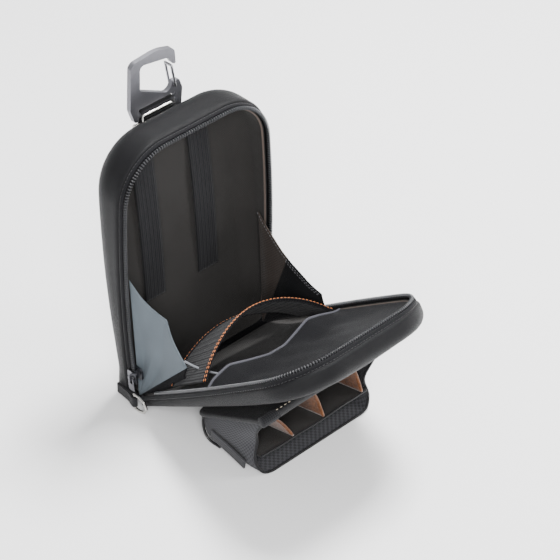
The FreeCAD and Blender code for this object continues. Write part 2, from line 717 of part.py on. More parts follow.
def parts():
    """Every sub-part by name, before the origin is moved."""
    nodes = {
        "back_shell": back_shell(),
        "back_lining": back_lining(),
        "back_zip_tape": zip_tape(WALL),
        "back_zip_coil": zip_coil(WALL, BACK_COIL_START),
        "back_edge_piping": edge_piping(BACK, HINGE_Z + 8),
        "back_elastic_bands": back_elastic_bands(),
        "carry_loop": carry_loop(),
        "hook_plate": hook_plate(),
        "hook_gate": hook_gate(),
        "loop_bar": loop_bar(),
        "side_ring": side_ring(),
        "right_d_ring": d_ring(),
        "left_d_ring": mirrored(d_ring()),
        "right_ring_tab": ring_tab(),
        "left_ring_tab": mirrored(ring_tab()),
        "right_zip_slider": zip_slider(),
        "left_zip_slider": mirrored(zip_slider()),
        "right_zip_pull": zip_pull(),
        "left_zip_pull": mirrored(zip_pull()),
        "lid_shell": opened(shell(*LID)),
        "lid_lining": opened(lining(*LID)),
        "lid_zip_tape": opened(zip_tape(HINGE_Z)),
        "lid_zip_coil": opened(zip_coil(HINGE_Z, LID_COIL_START)),
        "lid_edge_piping": opened(edge_piping(LID, HINGE_Z + ELASTIC_TO + 1)),
        "lid_elastic_band": opened(lid_elastic()),
        "lid_elastic_hems": opened(lid_elastic_hems()),
        "lid_front_panel": opened(lid_front_panel()),
        "lid_panel_binding": opened(lid_panel_binding()),
        "hinge_fabric": hinge_fabric(),
        "gusset_left": gusset_left(),
        "gusset_right": gusset_right(),
        "pouch_panel": pouch_panel(),
        "pouch_board": pouch_board(),
        "pouch_lip_binding": pouch_lip(),
        "pouch_lip_ends": lip_ends(),
        "pouch_bag": pouch_bag(),
        "pouch_cross_divider": cross_divider(),
        "pouch_divider_left": upper_divider(-43, -20),
        "pouch_divider_middle": upper_divider(-4, 8),
        "pouch_divider_right": upper_divider(33, 44),
        "pouch_side_piping": side_piping(),
        "side_strap": side_strap(),
        "strap_rivet": strap_rivet(),
        "pouch_hanger": pouch_hanger(),
    }
    return nodes


def to_origin(nodes):
    """The move that puts the origin under the middle of the whole object's box."""
    whole = FreeCAD.BoundBox()
    for shape in nodes.values():
        whole.add(shape.optimalBoundingBox(False, False))
    return V(-(whole.XMin + whole.XMax) / 2, -(whole.YMin + whole.YMax) / 2, -whole.ZMin)


def main():
    os.makedirs("parts", exist_ok=True)
    nodes = parts()
    shift = to_origin(nodes)
    print("origin moved by", [round(c, 3) for c in shift])
    for name, shape in nodes.items():
        shape.translate(shift)
        print(f"{name:24s} solids {len(shape.Solids)} volume {shape.Volume:10.1f} {shape.isValid()}")
        shape.exportStep(f"parts/{name}.step")
    return shift


origin_shift = main()
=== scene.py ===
"""Electrician's tool pouch: zipped meter case, its lid and the folding tool pouch under it."""

import math

import bmesh
import bpy
import numpy as np
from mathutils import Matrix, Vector


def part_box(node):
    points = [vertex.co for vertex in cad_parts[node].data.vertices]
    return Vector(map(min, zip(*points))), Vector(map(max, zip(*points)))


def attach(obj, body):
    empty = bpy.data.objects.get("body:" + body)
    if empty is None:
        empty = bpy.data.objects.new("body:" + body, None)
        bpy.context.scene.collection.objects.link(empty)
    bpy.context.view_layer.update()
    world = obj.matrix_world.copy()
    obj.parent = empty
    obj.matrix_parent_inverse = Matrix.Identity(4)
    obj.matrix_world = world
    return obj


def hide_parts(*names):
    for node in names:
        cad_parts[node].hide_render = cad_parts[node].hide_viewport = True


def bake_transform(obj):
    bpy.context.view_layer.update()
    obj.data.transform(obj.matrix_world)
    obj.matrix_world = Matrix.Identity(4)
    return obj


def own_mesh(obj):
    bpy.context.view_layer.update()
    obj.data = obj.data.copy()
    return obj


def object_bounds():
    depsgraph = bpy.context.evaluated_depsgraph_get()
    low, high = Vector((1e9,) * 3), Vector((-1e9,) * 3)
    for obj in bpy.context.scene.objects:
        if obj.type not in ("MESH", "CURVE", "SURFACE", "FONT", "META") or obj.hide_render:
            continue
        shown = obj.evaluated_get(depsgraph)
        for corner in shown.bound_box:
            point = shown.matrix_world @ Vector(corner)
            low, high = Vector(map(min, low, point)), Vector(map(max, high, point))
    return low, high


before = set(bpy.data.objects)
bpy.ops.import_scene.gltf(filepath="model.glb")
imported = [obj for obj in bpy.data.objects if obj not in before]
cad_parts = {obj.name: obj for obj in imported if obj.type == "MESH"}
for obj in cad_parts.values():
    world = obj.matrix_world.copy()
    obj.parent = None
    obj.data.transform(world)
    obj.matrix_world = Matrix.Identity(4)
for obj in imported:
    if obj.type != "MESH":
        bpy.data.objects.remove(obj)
cad_low, cad_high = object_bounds()


# ------------------------------------------------------------------ floor, light and camera
# A flat white card under a soft box high at the right, with weaker boxes in front and at
# the side.

class Value:
    """One output on a material's node graph: Python's operators add its maths nodes."""

    def __init__(self, finish, socket):
        self.finish, self.socket = finish, socket

    def maths(self, operation, a, b=0.0):
        return self.finish.node("Math", {"operation": operation}, {0: a, 1: b})

    def __add__(self, other): return self.maths("ADD", self, other)
    def __sub__(self, other): return self.maths("SUBTRACT", self, other)
    def __mul__(self, other): return self.maths("MULTIPLY", self, other)
    def __gt__(self, other): return self.maths("GREATER_THAN", self, other)
    def __abs__(self): return self.maths("ABSOLUTE", self)
    def __rsub__(self, other): return self.maths("SUBTRACT", other, self)
    __radd__, __rmul__ = __add__, __mul__


class Finish:
    """A procedural material: constants go on its Principled shader, patterns come from nodes."""

    def __init__(self, name, constants):
        self.material = bpy.data.materials.new(name)
        self.material.use_nodes = True
        self.tree = self.material.node_tree
        self.shader = self.tree.nodes["Principled BSDF"]
        for socket, value in constants.items():
            self.shader.inputs[socket].default_value = value

    def node(self, kind, settings=None, inputs=None, out=0):
        made = self.tree.nodes.new("ShaderNode" + kind)
        for key, value in (settings or {}).items():
            if key == "stops":
                ramp = made.color_ramp
                while len(ramp.elements) < len(value):
                    ramp.elements.new(0.5)
                for element, (place, colour) in zip(ramp.elements, value):
                    element.position, element.color = place, (*colour, 1)
            else:
                setattr(made, key, value)
        for key, value in (inputs or {}).items():
            if isinstance(value, Value):
                self.tree.links.new(value.socket, made.inputs[key])
            elif value is not None:
                made.inputs[key].default_value = value
        return Value(self, made.outputs[out])

    def feed(self, socket, value):
        self.tree.links.new(value.socket, self.shader.inputs[socket])

    def bump(self, height, distance, strength=1.0, over=None):
        inputs = {"Height": height, "Distance": distance, "Strength": strength}
        if over is not None:
            inputs["Normal"] = over
        return self.node("Bump", None, inputs)

    def blend(self, amount, first, second):
        return self.node("Mix", {"data_type": "RGBA"},
                         {0: amount, 6: first, 7: second}, out=2)

    def noise(self, scale, detail=3.0, where=None):
        where = where or self.node("TexCoord", out="Object")
        return self.node("TexNoise", None,
                         {"Vector": where, "Scale": scale, "Detail": detail, "Roughness": 0.55})


def colour(r, g, b):
    """An sRGB colour, 0 to 255, as the linear one that a shader takes."""
    return tuple((c / 255 / 12.92 if c <= 10 else ((c / 255 + 0.055) / 1.055) ** 2.4)
                 for c in (r, g, b)) + (1.0,)


card = Finish("white_card", {"Roughness": 0.9, "Specular IOR Level": 0.1})
card.feed("Base Color", card.blend(card.noise(3.0), (0.92, 0.92, 0.93, 1), (0.94, 0.94, 0.94, 1)))
bpy.ops.mesh.primitive_plane_add(size=14)
floor = bpy.context.object
floor.name = "studio_floor"
floor.data.materials.append(card.material)

world = bpy.data.worlds.new("studio")
bpy.context.scene.world = world
world.use_nodes = True
world.node_tree.nodes["Background"].inputs[0].default_value = (1.0, 1.0, 1.0, 1)
world.node_tree.nodes["Background"].inputs[1].default_value = 0.72

middle = (cad_low + cad_high) / 2
for lamp_name, place, width, power in (
        ("key_box", (0.55, 0.20, 1.30), 0.42, 48.0),
        ("front_box", (-0.80, -0.85, 0.95), 0.60, 22.0),
        ("side_box", (0.95, -0.75, 0.60), 0.50, 8.0)):
    lamp = bpy.data.lights.new(lamp_name, "AREA")
    lamp.size, lamp.energy = width, power
    lamp_object = bpy.data.objects.new(lamp_name, lamp)
    lamp_object.location = place
    lamp_object.rotation_euler = (middle - Vector(place)).to_track_quat("-Z", "Y").to_euler()
    bpy.context.scene.collection.objects.link(lamp_object)

SPLIT_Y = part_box("back_zip_coil")[0].y - 0.0008      # the plane in which the two halves meet
CAMERA_TURN, CAMERA_RISE, CAMERA_AWAY = -43.5, 38.3, 1.680
LENS_MM = 154.3
aim = Vector((0.0716, SPLIT_Y, 0.0348))
turn, rise = math.radians(CAMERA_TURN), math.radians(CAMERA_RISE)
back = Vector((math.sin(turn) * math.cos(rise), -math.cos(turn) * math.cos(rise), math.sin(rise)))
camera_data = bpy.data.cameras.new("camera")
camera_data.lens, camera_data.sensor_width = LENS_MM, 36.0
camera_data.clip_start, camera_data.clip_end = 0.05, 60
camera = bpy.data.objects.new("camera", camera_data)
camera.location = aim + back * CAMERA_AWAY
camera.rotation_mode = "QUATERNION"
camera.rotation_quaternion = (-back).to_track_quat("-Z", "Y")
bpy.context.scene.collection.objects.link(camera)
bpy.context.scene.camera = camera


# ------------------------------------------------------------------ moulded shells
# Each half is a thermoformed foam tray faced with fine black coated cloth. Its edge is
# turned in and sewn to the zip tape. Millimetres from the split plane, zipped shut.

CASE_TOP, HALF_WIDTH, SIDE_BOW = 196.0, 59, 5.0
TOP_CORNER, FOOT_CORNER = 36, 6      # radii of the edge line's corners
SHELL_OUT = 4                        # how far the shell's side stands out from the edge line
FOOT_BLEND = 32                      # height over which the foot's small radius grows to the side's
HINGE_Z, LID_SWING = 10.0, math.radians(54.0)
HALVES = {
    "back_half": {"low": 4.0, "depths": (23.0, 39.0), "edge": 18.0, "prefix": "back"},
    "lid": {"low": 10.0, "depths": (10.5, 21.0), "edge": 9.0, "prefix": "lid"},
}


def outline(side, foot, low):
    """The edge line of a half, moved outwards: closed, from the middle of the foot."""
    half, high, base = HALF_WIDTH + side, CASE_TOP + side, low - foot
    mid, reach = (high + base) / 2, (high - base) / 2
    big = (reach * reach + SIDE_BOW ** 2) / (2 * SIDE_BOW)
    sx = half + SIDE_BOW - big
    rc, rf = max(TOP_CORNER + side, 2), max(FOOT_CORNER + foot, 0.8)
    cz, fz = high - rc, base + rf
    cx = sx + math.sqrt((big - rc) ** 2 - (cz - mid) ** 2)
    fx = sx + math.sqrt((big - rf) ** 2 - (fz - mid) ** 2)
    high_turn = math.asin((cz - mid) / (big - rc))
    low_turn = math.asin((fz - mid) / (big - rf))

    def arc(x, z, r, a, b, count):
        t = np.linspace(a, b, count, endpoint=False)
        return np.column_stack((x + r * np.cos(t), z + r * np.sin(t)))

    def line(x0, x1, z, count, end):
        x = np.linspace(x0, x1, count, endpoint=end)
        return np.column_stack((x, np.full_like(x, z)))

    right = np.vstack((line(0, fx, base, 12, False),
                       arc(fx, fz, rf, -math.pi / 2, low_turn, 7),
                       arc(sx, mid, big, low_turn, high_turn, 46),
                       arc(cx, cz, rc, high_turn, math.pi / 2, 20),
                       line(cx, 0, high, 11, True)))
    return np.vstack((right, right[1:-1][::-1] * (-1, 1)))


def opened(points):
    """From the closed lid to the open one."""
    p = np.asarray(points, float) * (-1, -1, 1)
    c, s = math.cos(LID_SWING), math.sin(LID_SWING)
    y, z = p[..., 1], p[..., 2] - HINGE_Z
    return np.stack((p[..., 0], y * c - z * s, HINGE_Z + y * s + z * c), axis=-1)


def row(points, body="back_half"):
    """Millimetres about the closed case to metres in the model's own frame."""
    p = opened(points) if body == "lid" else np.asarray(points, float)
    return p * 0.001 + (0, SPLIT_Y, 0)


def lengths(points):
    """Running length along a line of points."""
    return np.concatenate(([0], np.cumsum(np.linalg.norm(np.diff(points, axis=0), axis=1))))


def make(name, verts, faces, uvs, finish):
    """A mesh piece with its own UV map in metres."""
    mesh = bpy.data.meshes.new(name)
    mesh.from_pydata([tuple(v) for v in verts], [], faces)
    layer = mesh.uv_layers.new(name="UVMap")
    layer.data.foreach_set("uv", np.asarray(uvs, np.float32).ravel())
    mesh.materials.append(finish.material)
    mesh.shade_smooth()
    piece = bpy.data.objects.new(name, mesh)
    bpy.context.scene.collection.objects.link(piece)
    return piece


def loft(name, rings, finish, wrap=True, ends=(False, False), flat=None, plane=(0, 2)):
    """A skin over rows of points, in metres. wrap joins each row's ends, ends closes the first
    and last rows with a pole, and flat says which faces are cut from flat cloth: their weave is
    laid out on the plane given by two axes, not gathered towards the middle."""
    rings = np.asarray(rings, float)
    rows, count = rings.shape[:2]
    verts = list(rings.reshape(-1, 3))
    around = np.concatenate((rings, rings[:, :1]), axis=1) if wrap else rings
    longest = np.linalg.norm(np.diff(around, axis=1), axis=2).sum(axis=1).argmax()
    across = lengths(around[longest])
    steps = np.linalg.norm(np.diff(rings, axis=0), axis=2).mean(axis=1)
    along = np.concatenate(([0], np.cumsum(steps)))
    faces, uvs = [], []
    for i in range(rows - 1):
        n = i + 1
        v0, v1 = along[i], along[n]
        for j in range(count if wrap else count - 1):
            k = (j + 1) % count
            faces.append((i * count + j, i * count + k, n * count + k, n * count + j))
            u0, u1 = across[j], across[j + 1]
            if flat and flat(i):
                uvs += [(rings[a][b][plane[0]], rings[a][b][plane[1]])
                        for a, b in ((i, j), (i, k), (n, k), (n, j))]
            else:
                uvs += [(u0, v0), (u1, v0), (u1, v1), (u0, v1)]
    for at_end, wanted in enumerate(ends):
        if wanted:
            index = (rows - 1) * count if at_end else 0
            verts.append(rings[-1 if at_end else 0].mean(axis=0))
            pole = len(verts) - 1
            for j in range(count):
                k = (j + 1) % count
                corners = (index + j, index + k, pole)
                faces.append(corners if at_end else corners[::-1])
                uvs += [(verts[c][0], verts[c][2]) for c in faces[-1]]
    piece = make(name, verts, faces, uvs, finish)
    if wrap and all(ends):
        outwards(piece)
    return piece


def outwards(piece):
    """Faces of a closed piece all point out of it."""
    work = bmesh.new()
    work.from_mesh(piece.data)
    bmesh.ops.recalc_face_normals(work, faces=work.faces)
    work.to_mesh(piece.data)
    work.free()


def thicken(piece, metres):
    """Gives a skin its cloth's thickness, half to each side."""
    solid = piece.modifiers.new("thickness", "SOLIDIFY")
    solid.thickness, solid.offset, solid.use_even_offset = metres, 0.0, False
    return piece


def cloth(name, dark, light, pitch, bump, rough, sheen, mottle=0.35, gloss=0.08):
    """Plain-woven cloth: threads over and under each other, with slow changes of tone."""
    f = Finish(name, {"Sheen Weight": sheen, "Sheen Roughness": 0.45,
                      "Specular IOR Level": gloss})
    u, v = (f.node("SeparateXYZ", None, {0: f.node("TexCoord", out="UV")}, out=k)
            for k in (0, 1))
    across, along = u * (math.pi / pitch), v * (math.pi / pitch)
    sines = [f.node("Math", {"operation": "SINE"}, {0: a}) for a in (across, along)]
    over = (sines[0] * sines[1]) > 0.0
    ribs = [abs(f.node("Math", {"operation": "SINE"}, {0: a * 2.0})) for a in (across, along)]
    thread = (over * ribs[0] + (1.0 - over) * ribs[1]) * 0.55 + over * 0.4
    slow, fine = f.noise(28.0), f.noise(900.0, 2.0)
    shade = thread * (1 - mottle) + slow * mottle
    f.feed("Base Color", f.blend(shade, colour(*dark), colour(*light)))
    f.feed("Roughness", (slow - 0.5) * 0.16 + rough)
    soft = f.bump(f.noise(90.0, 3.0), 0.0006, 0.35)
    f.feed("Normal", f.bump(thread + fine * 0.35, bump, 0.9, soft))
    return f


shell_cloth = cloth("coated_shell_cloth", (5, 5, 6), (17, 17, 20), 0.00040, 0.00006, 0.50,
                    0.03, 0.55, 0.15)


def tray(low, depths, edge, out, inset, start, wall, crown, foot_edge=7.0):
    """Rings of one face of a tray, from its edge over the round corner to the middle of its
    back. start is the depth of its edge, and wall the number of rings up its straight side."""
    slope = (depths[1] - depths[0]) / (CASE_TOP + SHELL_OUT)

    def at(ring):
        x, z = ring[:, 0], ring[:, 1]
        base = low - out
        w = np.clip((z - base) / FOOT_BLEND, 0, 1)
        local = foot_edge + (edge - foot_edge) * w * w * (3 - 2 * w)
        deep = depths[0] + slope * z - inset
        return x, z, deep, np.maximum(deep - local, start + 0.6)

    rings = []
    ring = outline(out, out, low)
    for k in range(wall):
        x, z, deep, y0 = at(ring)
        rings.append(np.column_stack((x, start + (y0 - start) * k / wall, z)))
    for t in np.linspace(0, math.pi / 2, 11):
        fall = 1 - math.cos(t)
        ring = outline(out - edge * fall, out - foot_edge * fall, low)
        x, z, deep, y0 = at(ring)
        rings.append(np.column_stack((x, y0 + (deep - y0) * math.sin(t), z)))
    last, centre = rings[-1], np.array((0.0, 0.0, (CASE_TOP + low) / 2))
    for s in (0.10, 0.22, 0.36, 0.50, 0.64, 0.78, 0.90, 0.97):
        p = last + (centre - last) * s
        p[:, 1] = depths[0] + slope * p[:, 2] - inset + crown * (1 - (1 - s) ** 2)
        rings.append(p)
    return rings


def ripple(rings, size, step, seed, keep):
    """Cloth is never flat: a slow unevenness along Y, none on the first keep rings."""
    out = [r.copy() for r in rings]
    for i, r in enumerate(out):
        if i >= keep:
            x, z = r[:, 0], r[:, 2]
            wave = (np.sin(x / step + seed) * np.sin(z / (step * 1.7) + 1.3 * seed)
                    + 0.5 * np.sin((x + z) / (step * 0.61) + 2.1 * seed))
            r[:, 1] += size * wave * min(1, (i - keep) / 4)
    return out


for body, h in HALVES.items():
    shape = (h["low"], h["depths"], h["edge"])
    rim = [np.insert(outline(o, o, h["low"]), 1, y, axis=1)
           for o, y in ((1.5, 7.4), (1.7, 6.4), (2.4, 5.8), (3.1, 6.1), (3.7, 6.9))]
    outer = ripple(tray(*shape, 4.0, 0.0, 8.0, 4, 0.9), 0.34, 17.0, 0.7, 8)
    inner = tray(h["low"], h["depths"], h["edge"] - 4, 0.35, 3.6, 7.6, 3, 0.9, 4.0)
    rings = [row(r, body) for r in inner[::-1] + rim + outer]
    shell = loft(h["prefix"] + "_shell_cover", rings, shell_cloth, ends=(True, True),
                 flat=lambda i, n=len(rings): i > n - 9 or i < 8)
    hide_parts(h["prefix"] + "_shell")
    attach(shell, body)


# ------------------------------------------------------------------ linings
# Grey woven nylon glued inside each tray, with shallow creases where it turns the corners.

lining_cloth = cloth("grey_lining", (24, 23, 22), (62, 60, 59), 0.00070, 0.00010, 0.80, 0.08)
for body, h in HALVES.items():
    rings = ripple(tray(h["low"], h["depths"], h["edge"] - 5, -0.9, 5.1, 4.3, 4, 0.4, 3.0),
                   0.55, 11.0, 2.2, 6)
    for r in rings[7:]:
        r[:, 1] -= 0.5
    lining = loft(h["prefix"] + "_lining_cloth", [row(r, body) for r in rings], lining_cloth,
                  ends=(False, True), flat=lambda i, n=len(rings): i > n - 10)
    thicken(lining, 0.0004)
    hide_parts(h["prefix"] + "_lining")
    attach(lining, body)
    width, deep = 0.128, h["depths"][1] * 0.001
    width + 2 * deep
    0.190 + 2 * deep
    h["prefix"] + "_shell_cover"


# ------------------------------------------------------------------ zip tapes, coils and piping
# Woven polyester tape sewn round each tray, a wound nylon coil on its edge, and a thin taupe
# piping where the lining meets it. One row of stitches holds the tape to the shell.

def run(low, start, count):
    """Points and outward directions along a half's edge line, from foot round the top to foot."""
    ring = outline(0, 0, low)
    path = ring[:len(ring) // 2 + 1]
    z, x = path[:, 1], path[:, 0]
    keep = np.where((z >= start) & (x > 20) | (z > 100))[0]
    right = path[keep[0] - 1:]
    f = (start - right[0, 1]) / (right[1, 1] - right[0, 1])
    right[0] = right[0] + (right[1] - right[0]) * max(0, min(1, f))
    whole = np.vstack((right, right[:-1][::-1] * (-1, 1)))
    d = lengths(whole)
    s = np.linspace(0, d[-1], count)
    p = np.column_stack([np.interp(s, d, whole[:, k]) for k in (0, 1)])
    t = np.gradient(p, axis=0)
    t /= np.linalg.norm(t, axis=1)[:, None]
    return p, np.column_stack((t[:, 1], -t[:, 0]))


def swept(name, low, start, section, finish, body, closed=True):
    """A section, as (outwards, depth) pairs, drawn along the edge line."""
    count = 260
    p, n = run(low, start, count)
    rows = [np.column_stack((p[i, 0] + n[i, 0] * section[:, 0], section[:, 1],
                             p[i, 1] + n[i, 1] * section[:, 0])) for i in range(count)]
    return loft(name, [row(r, body) for r in rows], finish, wrap=closed, ends=(closed, closed))


def repeater():
    """Geometry Nodes: one small rounded bead again and again along a line."""
    tree = bpy.data.node_groups.new("beads_along_line", "GeometryNodeTree")
    face = tree.interface
    face.new_socket("Geometry", in_out="INPUT", socket_type="NodeSocketGeometry")
    for label in ("Pitch", "Length", "Depth", "Height"):
        face.new_socket(label, in_out="INPUT", socket_type="NodeSocketFloat")
    face.new_socket("Upright", in_out="INPUT", socket_type="NodeSocketBool")
    face.new_socket("Finish", in_out="INPUT", socket_type="NodeSocketMaterial")
    face.new_socket("Geometry", in_out="OUTPUT", socket_type="NodeSocketGeometry")
    new = lambda kind: tree.nodes.new(kind)
    link = tree.links.new
    given, result = new("NodeGroupInput"), new("NodeGroupOutput")
    curve, resample = new("GeometryNodeMeshToCurve"), new("GeometryNodeResampleCurve")
    resample.mode = "LENGTH"
    bead, scale = new("GeometryNodeMeshUVSphere"), new("ShaderNodeCombineXYZ")
    bead.inputs["Segments"].default_value = 8
    bead.inputs["Rings"].default_value = 6
    bead.inputs["Radius"].default_value = 0.5
    size = new("GeometryNodeTransform")
    tangent = new("GeometryNodeInputTangent")
    upright = new("FunctionNodeAlignRotationToVector")
    free = new("FunctionNodeAlignRotationToVector")
    upright.axis = free.axis = "X"
    upright.pivot_axis, free.pivot_axis = "Y", "AUTO"
    pick = new("GeometryNodeSwitch")
    pick.input_type = "ROTATION"
    place, real = new("GeometryNodeInstanceOnPoints"), new("GeometryNodeRealizeInstances")
    smooth, paint = new("GeometryNodeSetShadeSmooth"), new("GeometryNodeSetMaterial")
    link(given.outputs["Geometry"], curve.inputs[0])
    link(curve.outputs[0], resample.inputs[0])
    link(given.outputs["Pitch"], resample.inputs["Length"])
    for k, label in enumerate(("Length", "Depth", "Height")):
        link(given.outputs[label], scale.inputs[k])
    link(bead.outputs["Mesh"], size.inputs["Geometry"])
    link(scale.outputs[0], size.inputs["Scale"])
    for turner in (upright, free):
        link(tangent.outputs[0], turner.inputs["Vector"])
    link(given.outputs["Upright"], pick.inputs["Switch"])
    link(free.outputs[0], pick.inputs["False"])
    link(upright.outputs[0], pick.inputs["True"])
    link(resample.outputs[0], place.inputs["Points"])
    link(size.outputs[0], place.inputs["Instance"])
    link(pick.outputs[0], place.inputs["Rotation"])
    link(place.outputs[0], real.inputs[0])
    link(real.outputs[0], smooth.inputs[0])
    link(smooth.outputs[0], paint.inputs[0])
    link(given.outputs["Finish"], paint.inputs["Material"])
    link(paint.outputs[0], result.inputs[0])
    return tree


beads = repeater()


def beaded(name, lines, pitch, size, finish, body="back_half", upright=False):
    """Beads along lines of millimetre points. They are set out on the closed case, then opened.
    size is a bead's length, depth and height."""
    verts, edges = [], []
    for line in lines:
        edges += [(len(verts) + i, len(verts) + i + 1) for i in range(len(line) - 1)]
        verts += [tuple(p) for p in np.asarray(line, float) * 0.001]
    mesh = bpy.data.meshes.new(name + "_line")
    mesh.from_pydata(verts, edges, [])
    guide = bpy.data.objects.new(name + "_line", mesh)
    bpy.context.scene.collection.objects.link(guide)
    nodes = guide.modifiers.new("beads", "NODES")
    nodes.node_group = beads
    given = {item.name: item.identifier for item in beads.interface.items_tree
             if item.in_out == "INPUT"}
    for label, value in zip(("Pitch", "Length", "Depth", "Height"), (pitch, *size)):
        nodes[given[label]] = value * 0.001
    nodes[given["Upright"]] = upright
    nodes[given["Finish"]] = finish.material
    finished = guide.evaluated_get(bpy.context.evaluated_depsgraph_get())
    made = bpy.data.meshes.new_from_object(finished)
    bpy.data.objects.remove(guide)
    made.name = name
    points = np.empty(len(made.vertices) * 3)
    made.vertices.foreach_get("co", points)
    made.vertices.foreach_set("co", row(points.reshape(-1, 3) * 1000, body).ravel())
    made.materials.clear()
    made.materials.append(finish.material)
    made.polygons.foreach_set("material_index", [0] * len(made.polygons))
    made.update()
    piece = bpy.data.objects.new(name, made)
    bpy.context.scene.collection.objects.link(piece)
    return piece


tape_cloth = cloth("zip_tape_weave", (9, 9, 10), (30, 30, 33), 0.00085, 0.00016, 0.80, 0.06)

coil_nylon = Finish("coil_nylon", {"Specular IOR Level": 0.8})
grime = coil_nylon.noise(60.0)
coil_nylon.feed("Base Color", coil_nylon.blend(grime, colour(20, 21, 23), colour(60, 61, 65)))
coil_nylon.feed("Roughness", grime * 0.25 + 0.24)
coil_nylon.feed("Normal", coil_nylon.bump(coil_nylon.noise(2200.0), 0.00003, 0.5))

thread_black = Finish("black_thread", {"Sheen Weight": 0.3})
twist = thread_black.noise(2600.0, 1.0)
thread_black.feed("Base Color",
                  thread_black.blend(twist, colour(12, 12, 13), colour(44, 44, 47)))
thread_black.feed("Roughness", twist * 0.2 + 0.5)

piping_cloth = cloth("taupe_piping", (62, 54, 50), (112, 99, 92), 0.00060, 0.00008, 0.7, 0.1)
COIL_STARTS = {"back_half": 22.0, "lid": 34.0}       # heights at which the coils begin
PIPING_STARTS = {"back_half": HINGE_Z + 8, "lid": HINGE_Z + 81}
TOOTH_PITCH, TAPE_STITCH = 1.95, 2.6
TAPE_SECTION = np.array(((0.9, 3.9), (1.7, 3.2), (2.3, 3.3), (2.5, 4.2), (2.45, 6.6), (2.0, 7.4)))


def round_section(outwards_by, depth, wide, tall):
    """Ten points round a cord's section, as (outwards, depth) pairs."""
    return np.array([(outwards_by + wide * math.cos(a), depth + tall * math.sin(a))
                     for a in np.linspace(0, 2 * math.pi, 10, endpoint=False)])


def beside(p, n, out, depth):
    """A line that runs beside the edge line, a little outwards and at one depth."""
    return np.column_stack((p[:, 0] + n[:, 0] * out, np.full(len(p), depth),
                            p[:, 1] + n[:, 1] * out))


for body, h in HALVES.items():
    prefix, low = h["prefix"], h["low"]
    tape = swept(prefix + "_zip_tape_strip", low, low + 0.6, TAPE_SECTION, tape_cloth, body,
                 closed=False)
    thicken(tape, 0.0005)
    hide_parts(prefix + "_zip_tape")
    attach(tape, body)
    prefix + "_shell_cover"

    bed = swept(prefix + "_zip_cord", low, COIL_STARTS[body] - 2,
                round_section(0.7, 2.2, 0.8, 0.7), tape_cloth, body)
    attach(bed, body)

    coil_line = beside(*run(low, COIL_STARTS[body], 700), 0.75, 1.85)
    coil = beaded(prefix + "_zip_teeth", [coil_line], TOOTH_PITCH, (1.05, 2.7, 3.0), coil_nylon,
                  body, upright=True)
    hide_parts(prefix + "_zip_coil")
    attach(coil, body)

    seam = beside(*run(low, HINGE_Z + 4, 500), 2.75, 5.4)
    stitches = beaded(prefix + "_tape_stitches", [seam], TAPE_STITCH, (1.9, 0.35, 0.35),
                      thread_black, body, upright=True)
    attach(stitches, body)

    piping = swept(prefix + "_taupe_piping", low, PIPING_STARTS[body],
                   round_section(-1.35, 5.45, 0.75, 0.75), piping_cloth, body)
    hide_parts(prefix + "_edge_piping")
    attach(piping, body)


# ------------------------------------------------------------------ bands inside the back half
# Two flat ribbed elastics, sewn to the back wall at both ends, that keep a meter's strap.

def webbing(name, dark, light, pitch, lengthwise=True, bump=0.00022):
    """Ribbed narrow ware: cords side by side under a fine binding weave."""
    f = Finish(name, {"Sheen Weight": 0.08, "Sheen Roughness": 0.5, "Specular IOR Level": 0.12})
    u, v = (f.node("SeparateXYZ", None, {0: f.node("TexCoord", out="UV")}, out=k)
            for k in (0, 1))
    first, second = (u, v) if lengthwise else (v, u)
    rib = abs(f.node("Math", {"operation": "SINE"}, {0: first * (math.pi / pitch)}))
    bind = abs(f.node("Math", {"operation": "SINE"}, {0: second * (math.pi / 0.0007)}))
    tone = f.noise(40.0)
    shade = rib * 0.55 + bind * 0.15 + tone * 0.3
    f.feed("Base Color", f.blend(shade, colour(*dark), colour(*light)))
    f.feed("Roughness", tone * 0.2 + 0.62)
    f.feed("Normal", f.bump(rib + bind * 0.3, bump, 1.0))
    return f


def back_face(z):
    """Depth of the back shell's flat face at a height."""
    return 23 + 0.08 * z


elastic_weave = webbing("ribbed_elastic", (8, 8, 9), (34, 34, 37), 0.0016)
ELASTIC_LOW, ELASTIC_HIGH, ELASTIC_X, ELASTIC_HALF = 60, 176, 24, 9
INNER_WALL = 5.4                     # from the back face in to the lining
for side in (-1, 1):
    rows = []
    for z in np.linspace(ELASTIC_LOW, ELASTIC_HIGH, 60):
        lift = 1.0 + 1.6 * math.sin(math.pi * (z - ELASTIC_LOW) / (ELASTIC_HIGH - ELASTIC_LOW))
        wall = back_face(z) - INNER_WALL
        x = np.linspace(-ELASTIC_HALF, ELASTIC_HALF, 13)
        rows.append(np.column_stack((side * ELASTIC_X + x, wall - lift - 0.25 * np.cos(x * 1.9),
                                     np.full_like(x, z))))
    band = loft("back_elastic_right" if side > 0 else "back_elastic_left", [row(r) for r in rows],
                elastic_weave, wrap=False)
    thicken(band, 0.0009)
    if side > 0:
        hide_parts("back_elastic_bands")
    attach(band, "back_half")


# ------------------------------------------------------------------ carrying loop and ring tabs
# Ribbed black webbing: folded round the hook's lower bar and sewn down the back, and a short
# tab round each corner ring.

black_webbing = webbing("black_webbing", (8, 8, 9), (38, 38, 41), 0.0030, lengthwise=False,
                        bump=0.0003)
tab_webbing = webbing("tab_webbing", (9, 9, 10), (40, 40, 43), 0.0013)


